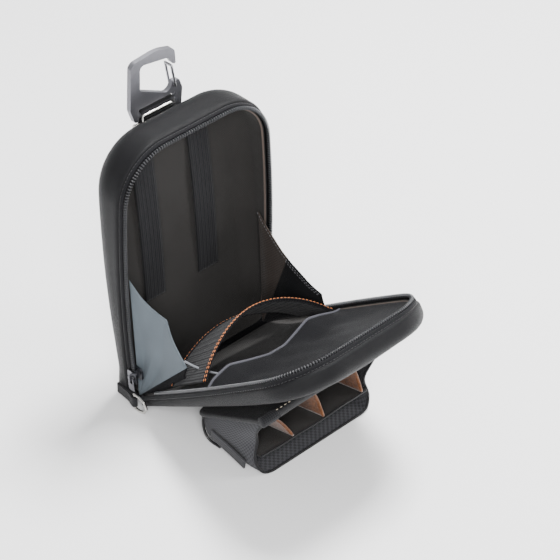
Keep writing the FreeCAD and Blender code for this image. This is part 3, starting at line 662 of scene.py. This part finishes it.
def strip(name, path, width_axis, half, finish, thick, ribs=0.0, rib_step=2.6, across=9):
    """A flat tape along a path of millimetre points, with raised ribs across it."""
    path = np.asarray(path, float)
    d = lengths(path)
    s = np.linspace(0, d[-1], max(12, int(d[-1] / (rib_step / 6 if ribs else 1.0))))
    p = np.column_stack([np.interp(s, d, path[:, k]) for k in range(3)])
    for _ in range(3):
        p[1:-1] = (p[:-2] + 2 * p[1:-1] + p[2:]) / 4
    t = np.gradient(p, axis=0)
    t /= np.linalg.norm(t, axis=1)[:, None]
    n = np.cross(t, width_axis)
    n /= np.linalg.norm(n, axis=1)[:, None]
    lift = ribs * (np.abs(np.sin(np.pi * s / rib_step)) - 0.5)
    rows = [p + n * lift[:, None] + np.asarray(width_axis, float) * w
            for w in np.linspace(-half, half, across)]
    piece = loft(name, row(np.transpose(rows, (1, 0, 2))), finish, wrap=False)
    return thicken(piece, thick * 0.001)


LOOP_HALF, LOOP_THICK, LOOP_RIB, LOOP_STEP = 14.0, 1.35, 0.45, 2.4
BAR_TURN = 3.1                       # radius of the webbing's middle round the hook's bar
pivot_y = (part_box("carry_loop")[1].y - SPLIT_Y) * 1000 - 3.9
pivot_z = 193.3
around = [(0, pivot_y - BAR_TURN * math.cos(a), pivot_z + BAR_TURN * math.sin(a))
          for a in np.linspace(-0.25, math.pi + 0.25, 22)]
loop_path = ([(0, back_face(z) + 0.9, z) for z in (135, 150, 165, 178)]
             + [(0, pivot_y - 3.3, 186)] + around + [(0, pivot_y + 1.2, 186)]
             + [(0, back_face(z) + 2.5, z) for z in (178, 165, 150, 135)])
loop = strip("carry_loop_webbing", loop_path, (1, 0, 0), LOOP_HALF, black_webbing, LOOP_THICK,
             LOOP_RIB, LOOP_STEP)
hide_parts("carry_loop")
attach(loop, "back_half")

SEAM_X, SEAM_LOW, SEAM_HIGH = 11, 139, 160


def over_webbing(x, z):
    """A point just proud of the two layers of webbing."""
    return x, back_face(z) + 3.4, z


box_seam = [over_webbing(x, z) for x, z in (
    (-SEAM_X, SEAM_LOW), (SEAM_X, SEAM_LOW), (SEAM_X, SEAM_HIGH), (-SEAM_X, SEAM_HIGH),
    (-SEAM_X, SEAM_LOW), (SEAM_X, SEAM_HIGH))]
cross_seam = [over_webbing(-SEAM_X, SEAM_HIGH), over_webbing(SEAM_X, SEAM_LOW)]
loop_stitch = beaded("carry_loop_stitches", [box_seam, cross_seam], 2.4, (1.8, 0.5, 0.5),
                     thread_black)
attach(loop_stitch, "back_half")

RING_X, RING_Y, TAB_Z, TAB_TURN = 66.4, -3.0, 7.4, 1.95
for side, label in ((1, "right"), (-1, "left")):
    bend = [(side * (RING_X - TAB_TURN * math.cos(a)), RING_Y - TAB_TURN * math.sin(a), TAB_Z)
            for a in np.linspace(0.1, math.pi + 0.5, 16)]
    path = ([(side * x, y, TAB_Z) for x, y in ((64.6, 16), (64.5, 8), (64.45, 1))] + bend
            + [(side * x, y, TAB_Z) for x, y in ((66.2, 3), (65.7, 9), (65.4, 16))])
    tab = strip(label + "_tab_webbing", path, (0, 0, 1), 4.0, tab_webbing, 0.7)
    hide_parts(label + "_ring_tab")
    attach(tab, "back_half")


# ------------------------------------------------------------------ hinge cloth and gussets
# The same coated cloth joins the halves at the foot. The gussets are sewn to both linings and
# fold inwards: blue-grey nylon at the left, its shaded underside painted as a black sheet, and
# taupe mesh with a black hemmed panel at the right.

def on_lid(x, along, above):
    """A point by its distance along the open lid and its height over the lid's edge."""
    a = math.pi / 2 - LID_SWING
    return np.array((x, -along * math.cos(a) + above * math.sin(a),
                     HINGE_Z + along * math.sin(a) + above * math.cos(a)))


def crossing(piece, start, end):
    """Cloth sewn to both halves: its placement is baked into its mesh. It does not bend as the lid
    turns.
    """
    tuple(row(np.array(start)))
    tuple(row(np.array(end)))
    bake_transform(piece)


profile = np.array(((9.0, 3.2), (6.6, 1.9), (4.4, 1.2), (2.0, 1.1), (0.2, 1.8), (-1.0, 3.0),
                    (-2.2, 4.4)))
HINGE_STRAIGHT, HINGE_END = 52.6, 59.4     # where the ends begin to rise, and where they stop
rows = []
for x in np.concatenate((np.linspace(-HINGE_END, -HINGE_STRAIGHT, 11), np.linspace(-51, 51, 34),
                         np.linspace(HINGE_STRAIGHT, HINGE_END, 11))):
    over = max(0.0, abs(x) - HINGE_STRAIGHT)
    rise = FOOT_CORNER - math.sqrt(FOOT_CORNER ** 2 - min(over, 5.8) ** 2)
    share = np.linspace(0, 1, len(profile))
    lift = np.column_stack((-0.81 * share * rise, (1 - 0.41 * share) * rise))
    rows.append(np.column_stack((np.full(len(profile), x), profile + lift)))
hinge = loft("hinge_cloth", [row(r) for r in rows], shell_cloth, wrap=False)
thicken(hinge, 0.0008)
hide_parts("hinge_fabric")
crossing(hinge, (0, 5, 2), (0, -1.5, 4))


FAN_COLUMNS = 22                     # points across each leaf of a gusset


def fan(corner, ends, sag, seed=0.0, creep=0.05):
    """Cloth that fans out from a corner through two or more free tips, creased at each tip.
    creep pulls its free edges in, and sag bows it between the tips."""
    corner, ends = np.asarray(corner, float), [np.asarray(e, float) for e in ends]
    rows = []
    for s in np.linspace(0.015, 1, 26):
        line = []
        for a, b in zip(ends, ends[1:]):
            face = np.cross(a - corner, b - corner)
            face /= np.linalg.norm(face)
            for t in np.linspace(0, 1, FAN_COLUMNS, endpoint=b is ends[-1]):
                pull = 1 - creep * math.sin(math.pi * t)
                p = corner + s * pull * ((1 - t) * (a - corner) + t * (b - corner))
                bow = sag * math.sin(math.pi * t) * math.sin(math.pi * min(1, s * 0.9 + 0.05))
                crease = 0.35 * math.sin(9 * s + 6 * t + seed) * math.sin(math.pi * t)
                line.append(p + face * (bow + crease))
        rows.append(line)
    return np.array(rows)


gusset_cloth = cloth("blue_grey_nylon", (68, 75, 81), (116, 125, 132), 0.00050, 0.00006, 0.72,
                     0.12, 0.5)
mesh_cloth = cloth("taupe_mesh", (22, 18, 17), (72, 63, 58), 0.00110, 0.00022, 0.85, 0.08)
# Black lining cloth for the pocket, the band's hems and the right panel; on the left gusset's
# underside it stands in for painted shade.
black_lining_and_painted_shade = cloth("black_lining_and_painted_shade", (7, 7, 8), (22, 22, 25), 0.00040, 0.00006, 0.70, 0.04)
thread_grey = Finish("grey_thread", {"Sheen Weight": 0.2})
strand = thread_grey.noise(2600.0, 1.0)
thread_grey.feed("Base Color",
                 thread_grey.blend(strand, colour(64, 64, 68), colour(128, 128, 132)))
thread_grey.feed("Roughness", strand * 0.2 + 0.5)

left_corner, left_back = (-57.8, 2.4, 3.4), (-57.9, 7.2, 101)
left_fold, left_tip = on_lid(-45.5, 49, 42.5), on_lid(-51.5, 57.5, 9.5)
left_under = on_lid(-53.5, 56, -1)
left_reach = ((0, 4, 80), (0, -46, 50))
rows = fan(left_corner, (left_back, left_fold, left_tip), sag=2.6, seed=1.0)
side_cut = {"wrap": False, "flat": lambda i: True, "plane": (1, 2)}
gusset = loft("gusset_left_cloth", row(rows), gusset_cloth, **side_cut)
thicken(gusset, 0.0006)
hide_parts("gusset_left")
crossing(gusset, *left_reach)
# The left gusset's underside, from its tip down to the lid's edge, is the same blue-grey cloth in
# shade: it is drawn in black lining cloth as painted shade.
under = loft("gusset_left_under", row(fan(left_corner, (left_tip, left_under), sag=-1.0)),
             black_lining_and_painted_shade, **side_cut)
thicken(under, 0.0006)
crossing(under, *left_reach)


def edge_inwards(rows, columns, depth):
    """A line on a fan, a little way in from its free edge."""
    outer, inner = rows[-1][columns], rows[-5][columns]
    step = inner - outer
    step /= np.linalg.norm(step, axis=1)[:, None]
    return outer + step * depth


first_leaf, second_leaf = slice(0, FAN_COLUMNS), slice(FAN_COLUMNS, 2 * FAN_COLUMNS)
GUSSET_STITCH = 2.4
lines = [edge_inwards(rows, second_leaf, 2.0), np.array([rows[k][-3] for k in range(4, 25)])]
stitch = beaded("gusset_left_stitches", [line + (0.55, 0, 0) for line in lines], GUSSET_STITCH,
                (1.7, 0.4, 0.4), thread_grey)
crossing(stitch, *left_reach)

right_corner, right_back = (57.8, 2.4, 3.4), (57.9, 7.2, 98)
right_fold, right_tip = on_lid(54.5, 60, 39.5), on_lid(54, 81, 10.5)
right_under = on_lid(54.8, 79, -1)
rows = fan(right_corner, (right_back, right_fold), sag=-2.0, seed=2.0, creep=0.02)
gusset = loft("gusset_right_cloth", row(rows), mesh_cloth, **side_cut)
thicken(gusset, 0.0007)
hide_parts("gusset_right")
right_reach = ((0, 4, 84), (0, -62, 60))
crossing(gusset, *right_reach)
taupe_edge = edge_inwards(rows, first_leaf, 1.5)
rows = fan(right_corner, (right_fold, right_tip, right_under), sag=-0.9, seed=3.0, creep=0.02)
dark = loft("gusset_right_panel", row(rows), black_lining_and_painted_shade, **side_cut)
thicken(dark, 0.0007)
crossing(dark, *right_reach)
lines = [edge_inwards(rows, first_leaf, d) for d in (1.4, 3.4)] + [taupe_edge]
stitch = beaded("gusset_right_stitches", [line + (-0.6, 0, 0) for line in lines], GUSSET_STITCH,
                (1.7, 0.42, 0.42), thread_grey)
crossing(stitch, *right_reach)


# ------------------------------------------------------------------ elastic band across the lid
# A wide band of ribbed black elastic, sewn to both side walls and arched up between them. Both
# free edges are hemmed with orange thread.

band_weave = webbing("band_elastic", (7, 7, 8), (32, 32, 35), 0.0022, bump=0.0003)
orange_thread = Finish("orange_thread", {"Sheen Weight": 0.35})
strand = orange_thread.noise(1800.0, 1.0)
orange_thread.feed("Base Color",
                   orange_thread.blend(strand, colour(132, 62, 14), colour(206, 118, 42)))
orange_thread.feed("Roughness", strand * 0.2 + 0.5)


BAND_REAR, BAND_WIDE = 38, 42        # along the lid from the hinge, and across the band


def arch(x, along):
    """Height of the band over the lid's edge. It stands higher at the front."""
    rise = 18.5 + 8.0 * (along - BAND_REAR) / BAND_WIDE
    u = np.clip(np.abs(x + 1.5) / 57.5, 0, 1)
    return rise * (1 - u ** 1.9) - 2.6 * u ** 6


def band_point(x, along):
    """Points of the band's middle, about the closed case."""
    h = arch(x, along)
    return np.column_stack((-np.asarray(x), -h, np.full(len(x), HINGE_Z + along)))


xs = np.linspace(-56.6, 56.6, 200)
rows = [band_point(xs, a) for a in np.linspace(38.6, 79.4, 12)]
for r in rows:
    r[:, 1] += 0.35 * np.abs(np.sin(np.arange(len(r)) * 0.5 * math.pi * 0.4))
band = loft("lid_band_elastic", [row(r, "lid") for r in rows], band_weave, wrap=False)
thicken(band, 0.0011)
hems = []
for label, at, wide in (("rear", 38.4, 1.6), ("front", 78.4, 3.0)):
    rows = [band_point(xs, at + w) - (0, 0.75 * math.sin(math.pi * k / 4) + 0.3, 0)
            for k, w in enumerate(np.linspace(0, wide, 5))]
    piece = loft("band_hem_" + label, [row(r, "lid") for r in rows], black_lining_and_painted_shade, wrap=False)
    thicken(piece, 0.0008)
    hems.append(piece)
threads = []
for label, at in (("rear", 38.9), ("front_low", 78.9), ("front_high", 80.9)):
    line = band_point(xs, at) - (0, 1.35, 0)
    threads.append(beaded("band_thread_" + label, [line], 2.9, (2.2, 0.6, 0.6), orange_thread, "lid"))
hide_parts("lid_elastic_band")
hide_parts("lid_elastic_hems")
for piece in hems + threads:
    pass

grey_piping = cloth("grey_piping", (84, 86, 91), (140, 142, 148), 0.00060, 0.00006, 0.6, 0.1)
cord_line = [on_lid(*p) for p in (
    (-50.8, 56.8, 14.0), (-49.8, 60, 11), (-48.6, 65, 7.5), (-46.8, 71, 3.5), (-44.6, 77, 0.6),
    (-43.5, 80.5, -0.8))]


def tube(name, line, radius, finish, body="back_half", smooth=4):
    """A round cord along millimetre points, whose corners are eased smooth times."""
    line = np.asarray(line, float)
    d = lengths(line)
    s = np.linspace(0, d[-1], max(8, int(d[-1] / 1.2)))
    p = np.column_stack([np.interp(s, d, line[:, k]) for k in range(3)])
    for _ in range(smooth):
        p[1:-1] = (p[:-2] + 2 * p[1:-1] + p[2:]) / 4
    t = np.gradient(p, axis=0)
    t /= np.linalg.norm(t, axis=1)[:, None]
    side = np.cross(t, (0.31, 0.52, 0.79))
    side /= np.linalg.norm(side, axis=1)[:, None]
    up = np.cross(t, side)
    a = np.linspace(0, 2 * math.pi, 10, endpoint=False)
    rings = [p[i] + radius * (np.outer(np.cos(a), side[i]) + np.outer(np.sin(a), up[i]))
             for i in range(len(p))]
    return loft(name, [row(r, body) for r in rings], finish, ends=(True, True))


cord = tube("lid_grey_piping", cord_line, 0.7, grey_piping, smooth=8)
for piece in [band, cord] + hems + threads:
    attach(piece, "lid")
    tuple(row(on_lid(0, 60, -3)))
    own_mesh(piece)


# ------------------------------------------------------------------ front panel of the lid
# A slip pocket of smooth black cloth over the far end of the lid, slack in the middle, with a
# grey bound mouth.

def lid_half_width(z):
    """Half the room between the lid's side walls, by height on the closed case."""
    ring = outline(-1.4, -1.4, HALVES["lid"]["low"])
    right = ring[:len(ring) // 2 + 1]
    keep = right[:, 1] > 40
    return np.interp(z, right[keep, 1], right[keep, 0])


MOUTH = 81.0                         # along the lid from the hinge to the pocket's mouth
POCKET_DEPTH, POCKET_PUFF = 5.3, 4.6
mouth_x = (-58, -44, -35, -22, -10, 4, 20, 36, 51, 58)
mouth_h = (-5.2, -1.0, 0.8, -3.2, -6.6, -6.4, -2.6, 1.8, -1.2, -5.2)
rows = []
u = np.linspace(-1, 1, 61)
for s in np.linspace(0, 1, 50):
    z = HINGE_Z + MOUTH + (CASE_TOP - 1.6 - HINGE_Z - MOUTH) * s
    half = lid_half_width(z)
    x = u * half
    edge = (1 - u ** 6) * min(1, (1 - s) * 9)
    h = -POCKET_DEPTH - POCKET_PUFF * edge * (1 - 0.25 * s)
    fold = (1.0 * np.sin(x / 7.5 + 3.2 * s) * np.sin(s * 7 + x / 21)
            + 0.6 * np.sin(x / 3.9 - 5 * s) * np.sin(s * 4 + 0.7)) * edge
    mouth = np.interp(-x, mouth_x, mouth_h)
    fade = max(0, 1 - s * 4.2) ** 2
    rows.append(np.column_stack((-x, -(h + fold) * (1 - fade) - mouth * fade,
                                 np.full_like(x, z))))
pocket = loft("lid_pocket_cloth", [row(r, "lid") for r in rows], black_lining_and_painted_shade, wrap=False)
thicken(pocket, 0.0007)
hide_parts("lid_front_panel")
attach(pocket, "lid")
grey_tape = cloth("grey_binding", (44, 44, 49), (88, 88, 95), 0.00060, 0.00010, 0.75, 0.1)
binding = tube("lid_pocket_binding", rows[0] - (0, 0.2, 0), 1.05, grey_tape, "lid")
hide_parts("lid_panel_binding")
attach(binding, "lid")


# ------------------------------------------------------------------ hanger under the lid
# Light webbing sewn across the underside of the lid: the tool pouch folds from it.

light_webbing = webbing("light_webbing", (76, 78, 82), (140, 142, 146), 0.0014)
LID_FOOT_DEPTH, LID_SLOPE = 10.5, 0.0525
rows = []
for z in np.linspace(HINGE_Z + 46, HINGE_Z + 60, 8):
    x = np.linspace(-22, 22, 20)
    under_lid = LID_FOOT_DEPTH + LID_SLOPE * z + 1.5
    rows.append(np.column_stack((x, np.full_like(x, under_lid), np.full_like(x, z))))
hanger = loft("pouch_hanger_webbing", [row(r, "lid") for r in rows], light_webbing, wrap=False)
thicken(hanger, 0.0009)
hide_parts("pouch_hanger")
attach(hanger, "lid")


# ------------------------------------------------------------------ tool pouch: panel and lip
# A board padded with foam in smooth black cloth. The free edge is a rolled binding with a
# dashed seam, and webbing is wrapped round both of its ends.

PANEL_SLOPE, PANEL_LENGTH, PANEL_THICK = math.radians(27.6), 74, 5.0


def on_panel(x, along, below):
    """A point by its distance along the pouch panel and its depth under the top face."""
    c, s = math.cos(PANEL_SLOPE), math.sin(PANEL_SLOPE)
    x, along, below = np.broadcast_arrays(np.asarray(x, float), along, below)
    return np.stack((x, -50 - along * c - below * s, 22 + along * s - below * c), axis=-1)


def pad_ring(inset):
    """Round-cornered outline of the panel, in x and distance along it, moved inwards. The rear
    corners have a radius of 10 and the ones at the lip 3."""
    pts = []
    for sign, at_rear, radius, a in ((1, True, 10, -90), (1, False, 3, 0),
                                     (-1, False, 3, 90), (-1, True, 10, 180)):
        r = max(radius - inset, 0.5)
        x = sign * (56 - inset - r)
        along = inset + r if at_rear else PANEL_LENGTH - inset - r
        pts += [(x + r * math.cos(q), along + r * math.sin(q))
                for q in np.radians(np.linspace(a, a + 90, 9))]
    ring = np.array(pts)
    closed = np.vstack((ring, ring[:1]))
    d = lengths(closed)
    s = np.linspace(0, d[-1], 140, endpoint=False)
    return np.column_stack([np.interp(s, d, closed[:, k]) for k in (0, 1)])


smooth_black = cloth("smooth_black_cloth", (8, 8, 9), (25, 25, 28), 0.00035, 0.00005, 0.48,
                     0.05, 0.55, 0.25)
FLAT_INSET, PAD_CROWN = 6, 0.3       # where the rounded edge ends, and the swell of each face
rings = []
centre = np.array((0, PANEL_LENGTH / 2))
for below, inset in ((0.0, 56), (0.0, 30), (0.0, 14), (0.05, 5), (0.3, 2.2), (1.0, 0.8),
                     (2.5, 0.0), (4.0, 0.8), (4.75, 2.2), (5.0, 5), (5.0, 14), (5.0, 30),
                     (5.0, 56)):
    swell = 0
    ring = pad_ring(min(inset, FLAT_INSET))
    if inset > FLAT_INSET:
        ring = centre + (ring - centre) * (1 - (inset - FLAT_INSET) / 52)
        swell = PAD_CROWN * (-1 if below < PANEL_THICK / 2 else 1)
    rings.append(on_panel(ring[:, 0], ring[:, 1], below + swell))
panel = loft("pouch_panel_pad", row(np.array(rings)), smooth_black, ends=(True, True))
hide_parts("pouch_panel", "pouch_board")
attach(panel, "tool_pouch")


LIP_HALF, LIP_END, RIB_PITCH = 42, 55.6, 1.7


def roll(name, x0, x1, radius, finish, ribs=0.0, squeeze=0.0):
    """A round edge along the lip, closed at both ends. ribs is how far its ribs stand out, and
    squeeze how far it wanders from straight."""
    rings = []
    a = np.linspace(0, 2 * math.pi, 28, endpoint=False)
    xs = np.linspace(x0, x1, max(8, int(abs(x1 - x0) / 0.4)))
    for k, x in enumerate(xs):
        end = min(k, len(xs) - 1 - k)
        r = radius * min(1, 0.80 + 0.1 * end) + ribs * math.sin(k * 0.4 * 2 * math.pi / RIB_PITCH)
        bow = squeeze * math.sin(x / 13.0)
        rings.append(on_panel(np.full_like(a, x), 73.4 + r * 0.92 * np.cos(a) + bow * 0.3,
                              PANEL_THICK / 2 + r * np.sin(a) + bow))
    return loft(name, row(np.array(rings)), finish, ends=(True, True))


lip = roll("pouch_lip_roll", -LIP_HALF, LIP_HALF, 3.3, smooth_black, squeeze=0.25)
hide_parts("pouch_lip_binding")
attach(lip, "tool_pouch")
wraps = [roll("pouch_lip_wrap_" + label, side * LIP_HALF, side * LIP_END, 3.75, tab_webbing,
              0.16)
         for side, label in ((-1, "left"), (1, "right"))]
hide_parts("pouch_lip_ends")
for piece in wraps:
    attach(piece, "tool_pouch")
thread_cream = Finish("cream_thread", {"Sheen Weight": 0.2})
strand = thread_cream.noise(2600.0, 1.0)
thread_cream.feed("Base Color",
                  thread_cream.blend(strand, colour(120, 110, 92), colour(186, 176, 156)))
thread_cream.feed("Roughness", strand * 0.2 + 0.5)
seam_x = np.linspace(-41.5, 41.5, 90)
dash = beaded("pouch_lip_seam", [on_panel(seam_x, 75.2, -0.5)], 3.6, (2.1, 0.7, 0.7),
              thread_cream)
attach(dash, "tool_pouch")


# ------------------------------------------------------------------ tool pouch: woven bag
# Heavy charcoal weave, sewn to the underside of the panel and open at the front. It is soft:
# the mouth sags back between the lip and the ground.

bag_weave = cloth("heavy_bag_weave", (8, 8, 9), (84, 84, 88), 0.00190, 0.00045, 0.80, 0.08, 0.15)
BAG_HALF = 51.6
BAG_CORNER = 6.0                     # radius between a side and the floor
rear_seam = on_panel(0, 3.0, PANEL_THICK)
# The bag's back and floor, from the seam under the panel to the mouth, as (y, z).
floor_path = np.array(((rear_seam[1], rear_seam[2]), (-55.9, 12), (-56.9, 6.2), (-59.2, 2.4),
                       (-63.5, 1.0), (-70, 0.85), (-82, 0.85), (-97, 0.85), (-112, 0.9)))
floor_d = lengths(floor_path)
floor_d /= floor_d[-1]


def bag_section(t):
    """The bag cut across, from the panel's left edge down, across the ground and up again."""
    by, bz = (np.interp(t, floor_d, floor_path[:, k]) for k in (0, 1))
    top = on_panel(0, 3 + 70 * max(0, (t - 0.06) / 0.94) ** 1.05, PANEL_THICK)
    ty, tz = top[1], top[2]
    radius = BAG_CORNER * min(1, t * 5)
    corner = radius / max(math.hypot(ty - by, tz - bz), 1e-3)    # share of the side's height
    left = []
    for f in np.linspace(0, max(0, 1 - corner), 14):
        bulge = 1.9 * math.sin(math.pi * min(1, f * 1.05)) * min(1, t * 3)
        left.append((-BAG_HALF - bulge + 0.6, ty + (by - ty) * f, tz + (bz - tz) * f))
    for q in np.linspace(0.12, 1, 7):
        a = q * math.pi / 2
        x = -BAG_HALF + radius * (1 - math.cos(a)) + 0.6
        f = (1 - corner) + corner * math.sin(a)
        left.append((x, ty + (by - ty) * f, tz + (bz - tz) * f))
    left = np.array(left)
    x = np.linspace(left[-1, 0], -left[-1, 0], 26)[1:-1]
    flat = np.column_stack((x, np.full_like(x, by), np.full_like(x, bz)))
    return np.vstack((left, flat, left[::-1] * (-1, 1, 1)))


rows = []
for t in np.concatenate((np.linspace(0.0, 0.34, 16), np.linspace(0.37, 1, 34))):
    r = bag_section(max(t, 0.004))
    tall = r[0, 2]
    near = max(0.0, (t - 0.45) / 0.55) ** 2
    lift = np.clip(r[:, 2] / max(tall, 1), 0, 1)
    side = np.where(np.abs(r[:, 0]) > BAG_HALF - 7, 1, 0.0)
    sag = np.sin(math.pi * lift) ** 0.8 * side
    r[:, 1] += 10.5 * near * sag * np.where(r[:, 0] < 0, 1.0, 0.7)
    r[:, 0] += np.sign(r[:, 0]) * near * sag * (-3.5 + 2.0 * np.sin(3 * math.pi * lift))
    wave = 0.5 * np.sin(r[:, 1] / 5.5 + r[:, 2] / 7.0) * np.sin(r[:, 2] / 9.0 + 1.0)
    side = np.where(np.abs(r[:, 0]) > BAG_HALF - 5, 1, 0)
    r[:, 0] += np.sign(r[:, 0]) * wave * side * min(1, t * 3)
    rows.append(r)
bag = loft("pouch_bag_cloth", row(np.array(rows)), bag_weave, wrap=False)
thicken(bag, 0.0013)
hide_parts("pouch_bag")
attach(bag, "tool_pouch")
mouth_tape = tube("pouch_mouth_binding", rows[-1], 1.0, smooth_black)
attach(mouth_tape, "tool_pouch")


# ------------------------------------------------------------------ dividers in the tool pouch
# A lining shelf parts the lower pocket from the upper ones. The three uprights are faced with
# tan brushed leather cloth and lean outwards.

SHELF_HALF, SHELF_REAR, SHELF_FRONT = 49.2, -62, -109
SHELF_REAR_Z, SHELF_RISE = 5.4, 10.6
rows = []
for s in np.linspace(0, 1, 24):
    y = SHELF_REAR + (SHELF_FRONT - SHELF_REAR) * s
    x = np.linspace(-SHELF_HALF, SHELF_HALF, 50)
    z = (SHELF_REAR_Z + SHELF_RISE * s
         - 1.3 * np.sin(math.pi * (x + SHELF_HALF) / (2 * SHELF_HALF)) * s
         + 0.3 * np.sin(x / 6 + 4 * s))
    rows.append(np.column_stack((x, np.full_like(x, y), z)))
shelf = loft("pouch_shelf_cloth", row(np.array(rows)), lining_cloth, wrap=False)
thicken(shelf, 0.0009)
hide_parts("pouch_cross_divider")
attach(shelf, "tool_pouch")
shelf_edge = tube("pouch_shelf_binding", rows[-1], 0.9, smooth_black)
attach(shelf_edge, "tool_pouch")

tan = Finish("tan_brushed_facing", {"Sheen Weight": 0.25, "Sheen Roughness": 0.4,
                                    "Specular IOR Level": 0.25})
nap, cloud = tan.noise(700.0, 4.0), tan.noise(55.0, 4.0)
tan_tones = [(0.3, colour(44, 25, 13)[:3]), (0.5, colour(92, 54, 28)[:3]),
             (0.72, colour(134, 86, 50)[:3])]
tan.feed("Base Color", tan.node("ValToRGB", {"stops": tan_tones}, {0: nap * 0.55 + cloud * 0.45}))
tan.feed("Roughness", nap * 0.2 + 0.72)
tan.feed("Normal", tan.bump(nap, 0.0005, 0.8, tan.bump(cloud, 0.0012, 0.5)))
for label, top_x, low_x in (("left", -43, -20), ("middle", -4, 8), ("right", 33, 44)):
    rows = []
    for s in np.linspace(0, 1, 22):
        y = -64 - 45.5 * s
        along = (-50 - 5 * math.sin(PANEL_SLOPE) - y) / math.cos(PANEL_SLOPE)
        top = on_panel(0, along, 5.3)[2]
        low = SHELF_REAR_Z + 0.8 + SHELF_RISE * s
        f = np.linspace(0, 1, 18)
        lean = top_x + (low_x - top_x) * f ** 0.9
        bow = 2.0 * math.copysign(1, low_x - top_x) * np.sin(math.pi * f) * s
        slack = 2.2 * s ** 3 * np.sin(math.pi * f)
        rows.append(np.column_stack((lean + bow, y + slack, top + (low - top) * f)))
    leaf = loft("pouch_divider_" + label + "_leaf", row(np.array(rows)), tan, wrap=False)
    thicken(leaf, 0.0015)
    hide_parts("pouch_divider_" + label)
    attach(leaf, "tool_pouch")


# ------------------------------------------------------------------ side piping and side strap
# Satin black piping covers the seam at the rear of each side. A ribbed strap hangs from a domed
# rivet at the left, on a short black loop.

satin = Finish("satin_piping", {"Specular IOR Level": 0.5})
scuff = satin.noise(120.0)
satin.feed("Base Color", satin.blend(scuff, colour(8, 8, 9), colour(28, 28, 30)))
satin.feed("Roughness", scuff * 0.25 + 0.3)
for side, label in ((-1, "left"), (1, "right")):
    x = side * (BAG_HALF + 0.9)
    under = on_panel(0, 6, 5)
    line = [(x, under[1] + 1, under[2] - 0.5), (x + side * 0.3, -56.6, 13),
            (x + side * 0.2, -58.2, 6.5), (x, -61.5, 2.4), (x - side * 0.6, -66, 1.4),
            (x - side * 1.2, -72, 1.3)]
    piping = tube("pouch_piping_" + label, line, 0.95, satin, smooth=8)
    if side < 0:
        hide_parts("pouch_side_piping")
    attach(piping, "tool_pouch")

strap_webbing = webbing("grey_strap", (20, 20, 21), (70, 70, 73), 0.0018, bump=0.0003)
path = [(-54.6, -67.0, 12.6), (-54.9, -73, 12.0), (-54.8, -80, 10.8), (-54.3, -88, 8.6),
        (-53.6, -98.5, 5.0)]
strap = strip("side_strap_webbing", path, (0, -0.16, 0.987), 3.8, strap_webbing, 1.2, across=11)
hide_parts("side_strap")
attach(strap, "tool_pouch")


# ------------------------------------------------------------------ hook, rings, zip sliders
# Hook: stamped and bead-blasted aluminium. Its gate is drawn steel wire. The rings, the loop
# bar and the rivet are bright plated, and the sliders are cast zinc in dark nickel.

def metal(name, dark, light, rough, grain, depth, stretch=None, metallic=1.0):
    """Metal with a fine grain of its own and slow smears of handling."""
    f = Finish(name, {"Metallic": metallic})
    where = f.node("TexCoord", out="Object")
    if stretch:
        where = f.node("Mapping", None, {"Vector": where, "Scale": stretch})
    grit, smear = f.noise(grain, 3.0, where), f.noise(35.0, 4.0)
    f.feed("Base Color", f.blend(smear, colour(*dark), colour(*light)))
    f.feed("Roughness", smear * 0.18 + grit * 0.08 + (rough - 0.1))
    f.feed("Normal", f.bump(grit, depth, 0.7))
    return f


blasted = metal("blasted_aluminium", (98, 98, 103), (136, 136, 142), 0.40, 3500.0, 0.00006,
                metallic=0.8)
wire = metal("drawn_wire", (128, 128, 132), (190, 190, 194), 0.28, 1500.0, 0.00002,
             (1, 1, 0.08))
chrome = metal("bright_plate", (168, 166, 162), (214, 212, 208), 0.16, 900.0, 0.00001)
nickel = metal("dark_nickel", (70, 70, 74), (140, 140, 146), 0.30, 1300.0, 0.00003)
for finish, names in (
        (blasted, ("hook_plate",)),
        (wire, ("hook_gate",)),
        (chrome, ("loop_bar", "side_ring", "right_d_ring", "left_d_ring", "strap_rivet")),
        (nickel, ("right_zip_slider", "left_zip_slider", "right_zip_pull", "left_zip_pull"))):
    for name in names:
        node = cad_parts[name]
        node.data.materials.clear()
        node.data.materials.append(finish.material)
edge_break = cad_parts["hook_plate"].modifiers.new("edge_break", "BEVEL")
edge_break.width, edge_break.segments, edge_break.angle_limit = 0.0006, 2, math.radians(50)
